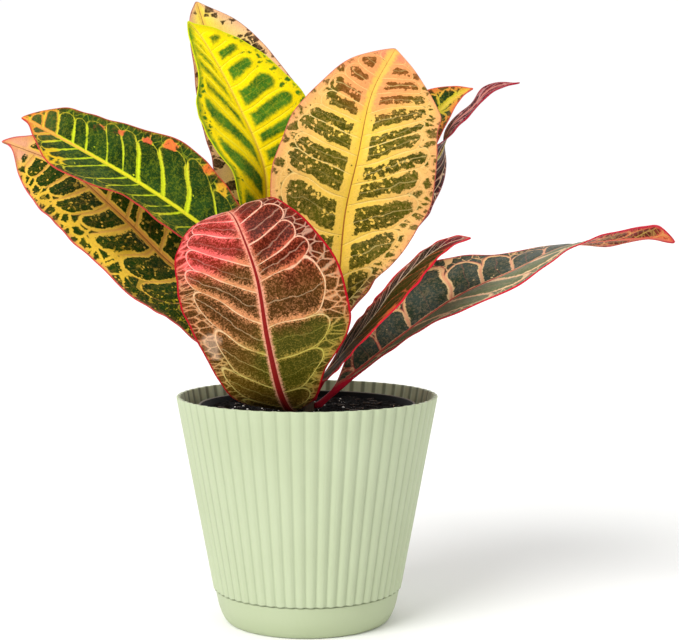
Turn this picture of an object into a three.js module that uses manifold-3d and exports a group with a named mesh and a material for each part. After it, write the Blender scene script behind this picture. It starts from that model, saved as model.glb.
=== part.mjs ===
// A potted croton: a fluted pot in its saucer, a grower's pot of soil inside it, and one plant.
// Millimetres, +Z up. The origin is the centre of the saucer's flat underside, and -Y is the front.

import * as THREE from 'three';
import Module from 'manifold-3d';

const wasm = await Module();
wasm.setup();

// Driving dimensions
const GAP = 0.3;                     // clearance between pieces that rest on each other

const SAUCER_RIM_Z = 18.7;
const SAUCER_FLOOR = 2;
const SAUCER_WALL = 1.6;
const SAUCER_RING_RADIUS = 34;       // raised ring that carries the pot
const SAUCER_RING_TOP = 3.7;

const POT_HEIGHT = 130;              // top of the rim
const POT_RIM_RADIUS = 75;
const POT_SEAM_RADIUS = 54.3;        // where the flutes end, just above the saucer
const FLUTE_COUNT = 60;
const FLUTE_DEPTH = 1.1;
const POT_WALL = 1.8;
const POT_UNDERSIDE = 4;
const POT_FLOOR = 2;
const DRAIN_HOLE_RADIUS = 4;
const DRAIN_HOLE_CIRCLE = 24;
const DRAIN_HOLES = 5;

const NURSERY_BASE_RADIUS = 42;
const NURSERY_NECK_RADIUS = 60;
const NURSERY_RIM_RADIUS = 62.4;
const NURSERY_RIM_TOP = 125;
const NURSERY_RIM_HEIGHT = 3.5;
const NURSERY_WALL = 1.2;

const SOIL_TOP = 121.6;
const SOIL_LUMP = 0.4;
const MOUND_HEIGHT = 0.5;            // the soil rises this much round the stem
const MOUND_SPREAD = 14;

const STEM_FOOT = new THREE.Vector3(-2, -6, 97);
const STEM_TOP = new THREE.Vector3(1, 2, 188);
const STEM_FOOT_RADIUS = 6.2;
const STEM_TOP_RADIUS = 4;
const STEM_SIDES = 14;

const BLADE_THICKNESS = 0.8;
const MIDRIB_HALF_WIDTH = 1.8;
const MIDRIB_RIDGE = 1.1;            // how far the midrib stands out of the underside
const MIDRIB_TAPER = 0.75;           // share of the ridge that is gone at the tip
const STALK_FOOT_SWELL = 1.2;        // a stalk is this much thicker where it meets the stem
const STALK_TO_BLADE = 0.14;         // share of the blade over which the stalk flattens out
const BEAK_SHARE = 0.97;             // one more ring lies here, where a blade narrows to its beak
const RIGHT_WAVE_SHIFT = 1.9;        // the right margin's ripple runs this far ahead, in radians

// Half widths of a blade are given at these shares of its length. The base and the tip are points.
const WIDTH_STATIONS = [0.12, 0.25, 0.4, 0.55, 0.7, 0.82, 0.92, 0.97];

// The leaves. The spine is the midrib from the stem to the tip, and stalk is the share of it that
// comes before the blade. left and right are half widths at the stations, seen from the side that
// face points to. face, fold and cup are spread evenly from the blade's base to its tip: fold raises
// each half towards the face side in degrees, and cup bends it further. wave is the height of the
// margin's ripple, the number of ripples and their phase. ridge is the side of the midrib.
const LEAVES = [
  {
    name: 'leaf_red_front', colour: 0x9c3a34, stalkRadius: 1.9, ridge: 1,
    spine: [[-3, -10, 126], [-9, -30, 126], [-14, -47, 138], [-20, -60, 168], [-25, -64, 200],
      [-34, -58, 225], [-40, -47, 234], [-46, -32, 234]],
    stalk: 0.08,
    left: [23, 31, 37, 43, 42, 37, 24, 10.5],
    right: [17, 27, 44, 45, 37, 27, 15, 6],
    face: [[0, -0.1, -1], [-0.1, -0.95, -0.2], [-0.1, -1, 0.05], [-0.15, -0.95, 0.2], [-0.1, -0.3, 1]],
    fold: [-6, 0, 5, 5], cup: [0, -5, -10, -10], wave: [1.5, 2, 0.1],
  },
  {
    name: 'leaf_peach_centre', colour: 0xd9a558, stalkRadius: 1.9, ridge: -1,
    spine: [[5, 2, 150], [12, 6, 160], [17, 8, 178], [19, 9, 205], [22, 8, 235], [29, 5, 266],
      [37, 10, 302], [51, 23, 329]],
    stalk: 0.11,
    left: [12, 28, 43, 45, 40, 26, 15, 6.5],
    right: [14, 32, 44, 46, 42, 40, 25, 10.5],
    face: [[-0.1, -0.95, 0.3], [0, -1, 0.2], [0, -1, 0.3]],
    fold: [25, 8, 8], cup: [0, -8, -10], wave: [1.5, 2.5, 0.2],
  },
  {
    name: 'leaf_yellow_left', colour: 0xc9c336, stalkRadius: 1.7, ridge: -1,
    spine: [[-1, 6, 168], [-8, 20, 188], [-23, 30, 223], [-26.5, 36, 262], [-43.5, 44, 301.5],
      [-61, 47, 334], [-71.5, 47, 347.5]],
    stalk: 0.12,
    left: [12, 23, 30.5, 37.5, 33, 16.5, 9.5, 5],
    right: [12, 26, 36, 39, 35, 25, 11.5, 3],
    face: [[0.45, -0.86, 0.22], [0.55, -0.79, 0.11], [0.42, -0.91, 0.18]],
    fold: [25, 18, 12], cup: [0, 5, 0], wave: [1.5, 2.5, 0.4],
  },
  {
    name: 'leaf_cream_back', colour: 0xd8c078, stalkRadius: 1.7, ridge: -1,
    spine: [[0, 6, 156], [-8, 32, 186], [-22, 46, 223.5], [-30, 54, 270], [-45, 60, 302],
      [-59.5, 64, 335], [-68, 64, 361]],
    stalk: 0.12,
    left: [14, 25.5, 34.5, 34, 27, 17.5, 10.5, 6],
    right: [12, 26.5, 35.5, 38.5, 36.5, 30.5, 19.5, 7.5],
    face: [[0.39, -0.91, 0.3], [0.39, -0.89, 0.32], [0.43, -0.88, 0.21]],
    fold: [20, 15, 10], cup: [0, 0, 0], wave: [1.5, 2, 0.7],
  },
  {
    name: 'leaf_green_left', colour: 0x3f5a2c, stalkRadius: 1.7, ridge: -1,
    spine: [[-6, -1, 162], [-18, -5, 186], [-39, -9, 209.5], [-63.5, -11, 230], [-92, -12, 249.5],
      [-126.5, -10, 269.5], [-161, -4, 288]],
    stalk: 0.13,
    left: [9.5, 18, 24, 22.5, 31.5, 27.5, 10.5, 2],
    right: [11.5, 23.5, 34, 39, 33, 25.5, 18.5, 9],
    face: [[0.38, -0.71, 0.56], [0.39, -0.61, 0.67], [0.33, -0.64, 0.67]],
    fold: [25, 15, 12], cup: [0, 0, 0], wave: [1.5, 2, 0],
  },
  {
    name: 'leaf_orange_left', colour: 0xb98a3c, stalkRadius: 1.8, ridge: -1,
    spine: [[-7, 1, 134], [-24, 5, 146], [-54.5, 11, 186], [-81, 16, 206], [-108.5, 19, 232.5],
      [-141, 21, 260], [-177, 18, 275.5]],
    stalk: 0.1,
    left: [32.5, 42, 46, 42, 40, 35, 18.5, 1.5],
    right: [12, 22, 30, 34, 31.5, 23.5, 10.5, 5],
    face: [[0.32, -0.78, 0.49], [0.44, -0.71, 0.51], [0.32, -0.85, 0.42]],
    fold: [25, 12, 12], cup: [0, 0, 0], wave: [1.5, 2.5, 0.3],
  },
  {
    name: 'leaf_long_right', colour: 0x4b5a44, stalkRadius: 1.8, ridge: -1,
    spine: [[6, -4, 124], [22, -5, 138], [47, -6, 159], [83, -8, 185.5], [117.5, -10, 202],
      [147.5, -13, 216], [189, -17, 220.5], [205, -24, 218.5]],
    stalk: 0.05,
    left: [16, 23.5, 39.5, 32, 26, 16.5, 1, 2],
    right: [5.5, 13.5, 25, 24.5, 25, 17.5, 11.5, 9.5],
    face: [[-0.55, -0.54, 0.63], [-0.53, -0.48, 0.75], [-0.36, -0.3, 0.79], [-0.37, 0.06, 0.89],
      [0.52, 0.6, 0.66]],
    fold: [20, 20, 3, 0, 0], cup: [0, 0, 0], wave: [1, 2, 0.2],
  },
  {
    name: 'leaf_narrow_right', colour: 0x5a2f2a, stalkRadius: 1.8, ridge: -1,
    spine: [[3, -9, 128], [10, -17, 142], [28, -28, 165.5], [39.5, -33, 180], [49.5, -34, 194],
      [65.5, -34, 209.5], [78.5, -32, 217.5], [91, -30, 221]],
    stalk: 0.1,
    left: [6, 16, 15, 9, 11.5, 11, 8, 5],
    right: [21.5, 25.5, 27, 28, 24, 15.5, 7.5, 3.5],
    face: [[-0.72, -0.17, 0.62], [-0.67, -0.24, 0.65], [-0.57, -0.27, 0.7]],
    fold: [10, 5, 5], cup: [0, 0, 0], wave: [1, 2, 0.2],
  },
  {
    name: 'leaf_small_green_right', colour: 0x6f7f35, stalkRadius: 1.4, ridge: -1,
    spine: [[3, 5, 178], [10, 28, 194], [36, 46, 235.5], [58.5, 52, 272.5], [78.5, 54, 295],
      [89.5, 55, 304], [99, 56, 308.5]],
    stalk: 0.12,
    left: [8, 14, 20, 23, 22.5, 17.5, 8, 2.5],
    right: [8, 14, 17, 17.5, 15, 9.5, 4, 1],
    face: [[0, -0.9, 0.3], [-0.01, -0.9, 0.31], [-0.02, -0.89, 0.32]],
    fold: [20, 10, 10], cup: [0, 0, 0], wave: [1, 2, 0.2],
  },
  {
    name: 'leaf_purple_twisted', colour: 0x6b3640, stalkRadius: 1.4, ridge: -1,
    spine: [[4, 4, 163], [16, 16, 182], [36, 22, 218], [56.5, 24, 247], [75, 25, 265.5],
      [83.5, 27, 283.5], [96, 29, 295], [107.5, 31, 306.5], [124.5, 34, 310.5]],
    stalk: 0.14,
    left: [9, 18, 26.5, 20.5, 10, 5, 5.5, 1],
    right: [9, 18, 22.5, 17.5, 9.5, 3.5, 4.5, 1],
    face: [[-0.6, 0.55, 0.5], [-0.5, 0.69, 0.4], [-0.52, 0.77, 0.4], [-0.56, -0.34, 0.56],
      [0.01, -0.42, 0.9]],
    fold: [10, 0, 0], cup: [0, 0, 0], wave: [1, 2, 0.2],
  },
  {
    name: 'leaf_back_right', colour: 0x5c6a30, stalkRadius: 1.6, ridge: -1,
    spine: [[2, 4, 140], [7, 24, 157], [14, 52, 181], [20, 78, 202], [25, 100, 216], [28, 116, 221]],
    stalk: 0.14,
    left: [8, 16, 22, 24, 22, 16, 9, 3.5],
    right: [7, 15, 22, 25, 22, 16, 9, 3.5],
    face: [[-0.1, -0.6, 0.8], [-0.1, -0.6, 0.8], [0, -0.2, 1]],
    fold: [20, 12, 8], cup: [0, 0, 0], wave: [1.5, 2, 0.5],
  },
  {
    name: 'leaf_back_left', colour: 0x77502e, stalkRadius: 1.6, ridge: -1,
    spine: [[-4, 3, 145], [-15, 22, 161], [-34, 46, 186], [-52, 70, 204], [-66, 90, 214],
      [-74, 104, 216]],
    stalk: 0.14,
    left: [9, 17, 23, 24, 21, 15, 8, 3.5],
    right: [8, 16, 21, 23, 21, 15, 8, 3.5],
    face: [[0.3, -0.5, 0.8], [0.3, -0.5, 0.8], [0.1, -0.1, 1]],
    fold: [20, 12, 8], cup: [0, 0, 0], wave: [1.5, 2, 0.9],
  },
  {
    name: 'leaf_young_apex', colour: 0x9aa63c, stalkRadius: 1, ridge: -1,
    spine: [[-1.5, -3.4, 183], [-3, -7, 188], [-4, -9, 204], [-3, -10, 222]],
    stalk: 0.2,
    left: [3, 5, 6.5, 7, 6, 4, 2.5, 1],
    right: [3, 5, 6.5, 7, 6, 4, 2.5, 1],
    face: [[0.3, 0.6, 0.6], [0.3, 0.9, 0.3], [0.3, 0.9, 0.5]],
    fold: [30, 28, 20], cup: [0, 0, 0], wave: [0.4, 2, 0.9],
  },
];

// Small geometry helpers

// A mesh from points and triangles, turned so that its faces point out.
function closedMesh(points, triangles) {
  let volume = 0;
  for (const [a, b, c] of triangles) {
    volume += points[a].dot(new THREE.Vector3().crossVectors(points[b], points[c]));
  }
  const outward = volume > 0 ? triangles : triangles.map(([a, b, c]) => [a, c, b]);
  const geometry = new THREE.BufferGeometry();
  const coordinates = points.flatMap((p) => [p.x, p.y, p.z]);
  geometry.setAttribute('position', new THREE.Float32BufferAttribute(coordinates, 3));
  geometry.setIndex(outward.flat());
  return geometry;
}

// Quads between two rings of the same number of points.
function joinRings(triangles, first, second, count) {
  for (let k = 0; k < count; k += 1) {
    const next = (k + 1) % count;
    triangles.push([first + k, first + next, second + next], [first + k, second + next, second + k]);
  }
}

// A solid turned about Z from [radius, z] points. The profile starts and ends on the axis, and
// radiusAt may change a point's radius with its angle.
function turned(profile, sides, radiusAt = (radius) => radius) {
  const points = [new THREE.Vector3(0, 0, profile[0][1])];
  const triangles = [];
  const rings = profile.slice(1, -1);
  rings.forEach(([radius, z, fluted]) => {
    for (let k = 0; k < sides; k += 1) {
      const angle = (2 * Math.PI * k) / sides;
      const r = radiusAt(radius, k, fluted);
      points.push(new THREE.Vector3(r * Math.cos(angle), r * Math.sin(angle), z));
    }
  });
  points.push(new THREE.Vector3(0, 0, profile[profile.length - 1][1]));
  for (let i = 0; i + 1 < rings.length; i += 1) {
    joinRings(triangles, 1 + i * sides, 1 + (i + 1) * sides, sides);
  }
  const lastRing = 1 + (rings.length - 1) * sides;
  for (let k = 0; k < sides; k += 1) {
    const next = (k + 1) % sides;
    triangles.push([0, 1 + next, 1 + k], [points.length - 1, lastRing + k, lastRing + next]);
  }
  return closedMesh(points, triangles);
}

function toSolid(geometry) {
  return new wasm.Manifold(new wasm.Mesh({
    numProp: 3,
    vertProperties: new Float32Array(geometry.attributes.position.array),
    triVerts: new Uint32Array(geometry.index.array),
  }));
}

function toGeometry(solid) {
  const mesh = solid.getMesh();
  const geometry = new THREE.BufferGeometry();
  geometry.setAttribute('position', new THREE.Float32BufferAttribute(mesh.vertProperties, 3));
  geometry.setIndex(Array.from(mesh.triVerts));
  return geometry;
}

// Round holes through a floor, one in the middle and the others evenly on a circle.
function withDrainHoles(geometry, bottom, top) {
  const margin = 1;
  const sides = 12;
  let solid = toSolid(geometry);
  for (let k = 0; k <= DRAIN_HOLES; k += 1) {
    const distance = k === 0 ? 0 : DRAIN_HOLE_CIRCLE;
    const angle = (2 * Math.PI * k) / DRAIN_HOLES;
    const profile = [[0, bottom - margin], [DRAIN_HOLE_RADIUS, bottom - margin],
      [DRAIN_HOLE_RADIUS, top + margin], [0, top + margin]];
    const hole = turned(profile, sides);
    hole.translate(distance * Math.cos(angle), distance * Math.sin(angle), 0);
    solid = solid.subtract(toSolid(hole));
  }
  return toGeometry(solid);
}

const croton = new THREE.Group();

function addPiece(name, geometry, colour, roughness) {
  const material = new THREE.MeshStandardMaterial({ color: colour, roughness, metalness: 0 });
  const mesh = new THREE.Mesh(geometry, material);
  mesh.name = name;
  croton.add(mesh);
}

// Saucer: a smooth dish with a rounded bottom edge and a raised ring for the pot to stand on.
const POT_COLOUR = 0xd0dcb4;
const PLASTIC_ROUGHNESS = 0.55;
const saucerOutside = [[53.3, SAUCER_RIM_Z], [52.4, 12.5], [50.8, 8], [49.4, 5], [48, 2], [47.2, 0.7],
  [46, 0]];
const saucerInside = saucerOutside.slice(0, 4).map(([radius, z]) => [radius - SAUCER_WALL, z]);
const saucerProfile = [
  [0, 0], ...saucerOutside.slice().reverse(), ...saucerInside, [46.2, SAUCER_FLOOR],
  [SAUCER_RING_RADIUS + 1.2, SAUCER_FLOOR], [SAUCER_RING_RADIUS + 0.8, SAUCER_RING_TOP],
  [SAUCER_RING_RADIUS - 0.8, SAUCER_RING_TOP], [SAUCER_RING_RADIUS - 1.2, SAUCER_FLOOR],
  [0, SAUCER_FLOOR],
];
const SAUCER_SIDES = 48;
addPiece('saucer', turned(saucerProfile, SAUCER_SIDES), POT_COLOUR, PLASTIC_ROUGHNESS);

// Outer pot: a corrugated wall, so the flutes show inside as well, above a smooth foot that drops
// into the saucer. Each flute takes three points: two on its rib and one in the groove.
const POINTS_PER_FLUTE = 3;
const seamZ = SAUCER_RIM_Z + GAP;
const innerSeamZ = seamZ + 3;
const wallSlope = (POT_RIM_RADIUS - POT_SEAM_RADIUS) / (POT_HEIGHT - seamZ);
const potFloorTop = POT_UNDERSIDE + POT_FLOOR;
const fluted = true;
const potProfile = [
  [0, POT_UNDERSIDE], [45, POT_UNDERSIDE], [46.2, 4.8], [48.2, 8], [50.4, seamZ],
  [POT_SEAM_RADIUS, seamZ, fluted], [POT_RIM_RADIUS, POT_HEIGHT, fluted],
  [POT_RIM_RADIUS - POT_WALL, POT_HEIGHT, fluted],
  [POT_SEAM_RADIUS + wallSlope * (innerSeamZ - seamZ) - POT_WALL, innerSeamZ, fluted],
  [48.6, innerSeamZ - 3], [45.6, potFloorTop + 1], [44.6, potFloorTop], [0, potFloorTop],
];
const potRadius = (radius, k, isFluted) => {
  const inGroove = isFluted && k % POINTS_PER_FLUTE === 0;
  return inGroove ? radius - FLUTE_DEPTH : radius;
};
const potBody = turned(potProfile, FLUTE_COUNT * POINTS_PER_FLUTE, potRadius);
addPiece('pot', withDrainHoles(potBody, POT_UNDERSIDE, potFloorTop), POT_COLOUR, PLASTIC_ROUGHNESS);

// Nursery pot: thin and black, standing on the outer pot's floor, with a rolled rim.
const nurseryBottom = potFloorTop + GAP;
const nurseryFloorTop = nurseryBottom + NURSERY_WALL;
const nurseryRimBottom = NURSERY_RIM_TOP - NURSERY_RIM_HEIGHT;
const NURSERY_SIDES = 40;
const nurseryProfile = [
  [0, nurseryBottom], [NURSERY_BASE_RADIUS, nurseryBottom], [NURSERY_NECK_RADIUS, nurseryRimBottom],
  [NURSERY_RIM_RADIUS, nurseryRimBottom], [NURSERY_RIM_RADIUS, NURSERY_RIM_TOP - 0.5],
  [NURSERY_RIM_RADIUS - 0.5, NURSERY_RIM_TOP], [NURSERY_RIM_RADIUS - NURSERY_WALL, NURSERY_RIM_TOP],
  [NURSERY_NECK_RADIUS - NURSERY_WALL, nurseryRimBottom - 1],
  [NURSERY_BASE_RADIUS - NURSERY_WALL, nurseryFloorTop], [0, nurseryFloorTop],
];
const nurseryBody = turned(nurseryProfile, NURSERY_SIDES);
const NURSERY_COLOUR = 0x1b1b1c;
const nurseryShell = withDrainHoles(nurseryBody, nurseryBottom, nurseryFloorTop);
addPiece('nursery_pot', nurseryShell, NURSERY_COLOUR, PLASTIC_ROUGHNESS);

// Stem: one leaning, tapering trunk with a domed tip, most of it above the soil.
function stemAxis(z) {
  const share = (z - STEM_FOOT.z) / (STEM_TOP.z - STEM_FOOT.z);
  return new THREE.Vector3().lerpVectors(STEM_FOOT, STEM_TOP, share);
}

function stemRadius(z) {
  const share = (z - STEM_FOOT.z) / (STEM_TOP.z - STEM_FOOT.z);
  return STEM_FOOT_RADIUS + (STEM_TOP_RADIUS - STEM_FOOT_RADIUS) * share;
}

function stemLoft(levels, extra) {
  const points = [];
  const triangles = [];
  levels.forEach(([z, scale]) => {
    const centre = stemAxis(z);
    const radius = stemRadius(z) * scale + extra;
    for (let k = 0; k < STEM_SIDES; k += 1) {
      const angle = (2 * Math.PI * k) / STEM_SIDES;
      const x = centre.x + radius * Math.cos(angle);
      const y = centre.y + radius * Math.sin(angle);
      points.push(new THREE.Vector3(x, y, z));
    }
  });
  for (let i = 0; i + 1 < levels.length; i += 1) {
    joinRings(triangles, i * STEM_SIDES, (i + 1) * STEM_SIDES, STEM_SIDES);
  }
  const last = (levels.length - 1) * STEM_SIDES;
  for (let k = 1; k + 1 < STEM_SIDES; k += 1) {
    triangles.push([0, k + 1, k], [last, last + k, last + k + 1]);
  }
  return closedMesh(points, triangles);
}

const stemLevels = [[STEM_FOOT.z, 1], [120, 1], [150, 1], [180, 1], [STEM_TOP.z - 2, 1],
  [STEM_TOP.z - 0.4, 0.8], [STEM_TOP.z, 0.45]];
const BARK_COLOUR = 0x6d5a3c;
const BARK_ROUGHNESS = 0.8;
addPiece('stem', stemLoft(stemLevels, 0), BARK_COLOUR, BARK_ROUGHNESS);

// Soil: fills the nursery pot, with a lumpy top, a low mound round the stem and a hole for it.
const SOIL_SIDES = 36;
const soilBottom = nurseryFloorTop + GAP;
const soilSlope = (NURSERY_NECK_RADIUS - NURSERY_BASE_RADIUS) / (nurseryRimBottom - nurseryBottom);
const soilBaseRadius = NURSERY_BASE_RADIUS - NURSERY_WALL - 2 * GAP;
const soilRadius = (z) => soilBaseRadius + soilSlope * (z - nurseryFloorTop);
const soilEdgeZ = SOIL_TOP - 2;
const soilRings = [58, 52, 45, 38, 30, 22, 14];

function soilHeight(x, y) {
  const small = Math.sin(x * 0.31 + 0.4) * Math.cos(y * 0.27 - 0.8);
  const broad = Math.sin(x * 0.13 - y * 0.19 + 1.1);
  const fromStem = (x - STEM_FOOT.x) ** 2 + (y - STEM_FOOT.y) ** 2;
  const mound = Math.exp(-fromStem / MOUND_SPREAD ** 2);
  return SOIL_TOP + SOIL_LUMP * (small + 0.6 * broad) + MOUND_HEIGHT * mound;
}

function soilBody() {
  const profile = [[0, soilBottom], [soilRadius(soilBottom), soilBottom], [soilRadius(soilEdgeZ), soilEdgeZ],
    ...soilRings.map((radius) => [radius, SOIL_TOP]), [0, SOIL_TOP]];
  const geometry = turned(profile, SOIL_SIDES);
  const position = geometry.attributes.position;
  for (let i = 0; i < position.count; i += 1) {
    if (position.getZ(i) > soilEdgeZ + GAP) {
      position.setZ(i, soilHeight(position.getX(i), position.getY(i)));
    }
  }
  return geometry;
}

const stemHole = stemLoft([[STEM_FOOT.z - GAP, 1], [SOIL_TOP + 10, 1]], GAP);
const soilWithHole = toSolid(soilBody()).subtract(toSolid(stemHole));
const SOIL_COLOUR = 0x2a211c;
const SOIL_ROUGHNESS = 0.95;
addPiece('soil', toGeometry(soilWithHole), SOIL_COLOUR, SOIL_ROUGHNESS);

// Leaves

// A smooth curve through evenly spread values, which are numbers or [x, y, z] points.
function smoothCurve(values, share) {
  const points = values.map((value) => new THREE.Vector3(...(Array.isArray(value) ? value : [value, 0, 0])));
  const count = points.length;
  const before = points[0].clone().multiplyScalar(2).sub(points[1]);
  const after = points[count - 1].clone().multiplyScalar(2).sub(points[count - 2]);
  const all = [before, ...points, after];
  const position = THREE.MathUtils.clamp(share, 0, 1) * (count - 1);
  const index = Math.min(Math.floor(position), count - 2);
  const t = position - index;
  const [a, b, c, d] = all.slice(index, index + 4);
  const startSlope = c.clone().sub(a).multiplyScalar(0.5);
  const endSlope = d.clone().sub(b).multiplyScalar(0.5);
  return b.clone().multiplyScalar(2 * t ** 3 - 3 * t ** 2 + 1)
    .addScaledVector(startSlope, t ** 3 - 2 * t ** 2 + t)
    .addScaledVector(c, -2 * t ** 3 + 3 * t ** 2)
    .addScaledVector(endSlope, t ** 3 - t ** 2);
}

// The point of a spine at a share of its length, with the spine measured along its curve.
function spineTable(spine) {
  const steps = 400;
  const table = [];
  let length = 0;
  let previous = null;
  for (let i = 0; i <= steps; i += 1) {
    const point = smoothCurve(spine, i / steps);
    length += previous ? point.distanceTo(previous) : 0;
    table.push({ share: i / steps, length });
    previous = point;
  }
  return (shareOfLength) => {
    const wanted = THREE.MathUtils.clamp(shareOfLength, 0, 1) * length;
    let i = 1;
    while (i < steps && table[i].length < wanted) {
      i += 1;
    }
    const from = table[i - 1];
    const to = table[i];
    const part = (wanted - from.length) / (to.length - from.length);
    return smoothCurve(spine, from.share + (to.share - from.share) * part);
  };
}

function halfWidth(widths, share) {
  const stations = [0, ...WIDTH_STATIONS, 1];
  const values = [0, ...widths, 0];
  const last = stations.length - 1;
  let i = 0;
  while (i < last - 1 && stations[i + 1] <= share) {
    i += 1;
  }
  const rise = (k) => (values[k + 1] - values[k]) / (stations[k + 1] - stations[k]);
  const slope = (k) => {
    if (k === 0) {
      return rise(0) * 0.6;
    }
    if (k === last) {
      return 2 * rise(last - 1) - slope(last - 1);
    }
    const before = stations[k] - stations[k - 1];
    const after = stations[k + 1] - stations[k];
    return (rise(k - 1) * after + rise(k) * before) / (before + after);
  };
  const step = stations[i + 1] - stations[i];
  const t = (share - stations[i]) / step;
  const width = (2 * t ** 3 - 3 * t ** 2 + 1) * values[i] + (t ** 3 - 2 * t ** 2 + t) * step * slope(i)
    + (-2 * t ** 3 + 3 * t ** 2) * values[i + 1] + (t ** 3 - t ** 2) * step * slope(i + 1);
  return Math.max(0, width);
}

// The midrib's point at a share of the blade, which is below 0 on the stalk, with the directions
// across the leaf to its right and out of its face.
function leafFrame(leaf, spineAt, share) {
  const whole = leaf.stalk + (1 - leaf.stalk) * share;
  const step = 0.001;
  const centre = spineAt(whole);
  const along = spineAt(whole + step).sub(spineAt(whole - step)).normalize();
  const face = smoothCurve(leaf.face, share);
  face.addScaledVector(along, -face.dot(along)).normalize();
  const across = new THREE.Vector3().crossVectors(along, face);
  return { centre, across, face };
}

// A point of the blade's middle surface. q is the place across it, from -1 at the left margin to 1.
function bladePoint(leaf, frame, share, q) {
  const side = q < 0 ? leaf.left : leaf.right;
  const reach = share > 0 ? halfWidth(side, share) * Math.abs(q) : 0;
  const fold = smoothCurve(leaf.fold, share).x + (smoothCurve(leaf.cup, share).x * Math.abs(q)) / 2;
  const angle = THREE.MathUtils.degToRad(fold);
  const [height, count, phase] = leaf.wave;
  const turn = 2 * Math.PI * (count * share + phase) + (q < 0 ? 0 : RIGHT_WAVE_SHIFT);
  const swell = share > 0 ? Math.sin(Math.PI * Math.min(share, 1)) : 0;
  const ripple = height * q * q * swell * Math.sin(turn);
  return frame.centre.clone()
    .addScaledVector(frame.across, Math.sign(q) * reach * Math.cos(angle))
    .addScaledVector(frame.face, reach * Math.sin(angle) + ripple);
}

// One leaf: rings of points from the stem to the tip. A ring is round on the stalk and becomes the
// thin section of the blade, and the first ring is cut to the stem's surface.
function leafGeometry(leaf) {
  const stalkRings = 3;
  const bladeRings = 15;
  const places = [-1, -0.64, -0.3, 'left midrib', 0, 'right midrib', 0.3, 0.64, 1];
  const count = places.length;
  const spineAt = spineTable(leaf.spine);
  const stalkShare = leaf.stalk / (1 - leaf.stalk);
  const shares = [];
  for (let i = 0; i < stalkRings; i += 1) {
    shares.push(-stalkShare * (1 - i / stalkRings));
  }
  for (let i = 0; i < bladeRings; i += 1) {
    shares.push(i / (bladeRings - 1));
  }
  shares.splice(-1, 0, BEAK_SHARE);
  const points = [];
  shares.forEach((share, ring) => {
    const frame = leafFrame(leaf, spineAt, share);
    const blade = THREE.MathUtils.smoothstep(share, 0, STALK_TO_BLADE);
    const taper = 1 - MIDRIB_TAPER * THREE.MathUtils.clamp(share, 0, 1);
    const radius = leaf.stalkRadius * (ring === 0 ? STALK_FOOT_SWELL : 1);
    const upper = [];
    const lower = [];
    places.forEach((place, j) => {
      const width = halfWidth(j < count / 2 ? leaf.left : leaf.right, Math.max(share, 0));
      const narrow = Math.min(MIDRIB_HALF_WIDTH / Math.max(width, 1), 0.15);
      const q = typeof place === 'number' ? place : narrow * (place === 'left midrib' ? -1 : 1);
      const surface = bladePoint(leaf, frame, share, q);
      const theta = THREE.MathUtils.degToRad(168 - (156 * j) / (count - 1));
      const sideways = radius * Math.cos(theta) * (1 - 0.7 * blade);
      surface.addScaledVector(frame.across, sideways);
      const round = radius * Math.sin(theta) * (1 - blade);
      const flat = (BLADE_THICKNESS / 2) * blade;
      const ridge = q === 0 ? MIDRIB_RIDGE * blade * taper : 0;
      const above = round + flat + (leaf.ridge > 0 ? ridge : 0);
      const below = round + flat + (leaf.ridge < 0 ? ridge : 0);
      upper.push(surface.clone().addScaledVector(frame.face, above));
      lower.push(surface.clone().addScaledVector(frame.face, -below));
    });
    const ringPoints = [...upper, ...lower];
    if (ring === 0) {
      ringPoints.forEach((point) => {
        const axis = stemAxis(point.z);
        const outward = new THREE.Vector2(point.x - axis.x, point.y - axis.y);
        outward.setLength(stemRadius(point.z) + GAP);
        point.set(axis.x + outward.x, axis.y + outward.y, point.z);
      });
    }
    points.push(...ringPoints);
  });
  const triangles = [];
  const top = (ring, j) => ring * 2 * count + j;
  const under = (ring, j) => ring * 2 * count + count + j;
  for (let ring = 0; ring + 1 < shares.length; ring += 1) {
    for (let j = 0; j + 1 < count; j += 1) {
      triangles.push([top(ring, j), top(ring, j + 1), top(ring + 1, j + 1)]);
      triangles.push([top(ring, j), top(ring + 1, j + 1), top(ring + 1, j)]);
      triangles.push([under(ring, j), under(ring + 1, j + 1), under(ring, j + 1)]);
      triangles.push([under(ring, j), under(ring + 1, j), under(ring + 1, j + 1)]);
    }
    const end = count - 1;
    triangles.push([top(ring, end), under(ring, end), under(ring + 1, end)]);
    triangles.push([top(ring, end), under(ring + 1, end), top(ring + 1, end)]);
    triangles.push([top(ring, 0), under(ring + 1, 0), under(ring, 0)]);
    triangles.push([top(ring, 0), top(ring + 1, 0), under(ring + 1, 0)]);
  }
  const lastRing = shares.length - 1;
  for (let j = 0; j + 1 < count; j += 1) {
    triangles.push([top(0, j), under(0, j), under(0, j + 1)], [top(0, j), under(0, j + 1), top(0, j + 1)]);
    triangles.push([top(lastRing, j), under(lastRing, j + 1), under(lastRing, j)]);
    triangles.push([top(lastRing, j), top(lastRing, j + 1), under(lastRing, j + 1)]);
  }
  return closedMesh(points, triangles);
}

const LEAF_ROUGHNESS = 0.4;
for (const leaf of LEAVES) {
  addPiece(leaf.name, leafGeometry(leaf), leaf.colour, LEAF_ROUGHNESS);
}

export default croton;
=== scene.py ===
import math
from functools import partialmethod

import bmesh
import bpy
import numpy as np
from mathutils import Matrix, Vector, noise


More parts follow.
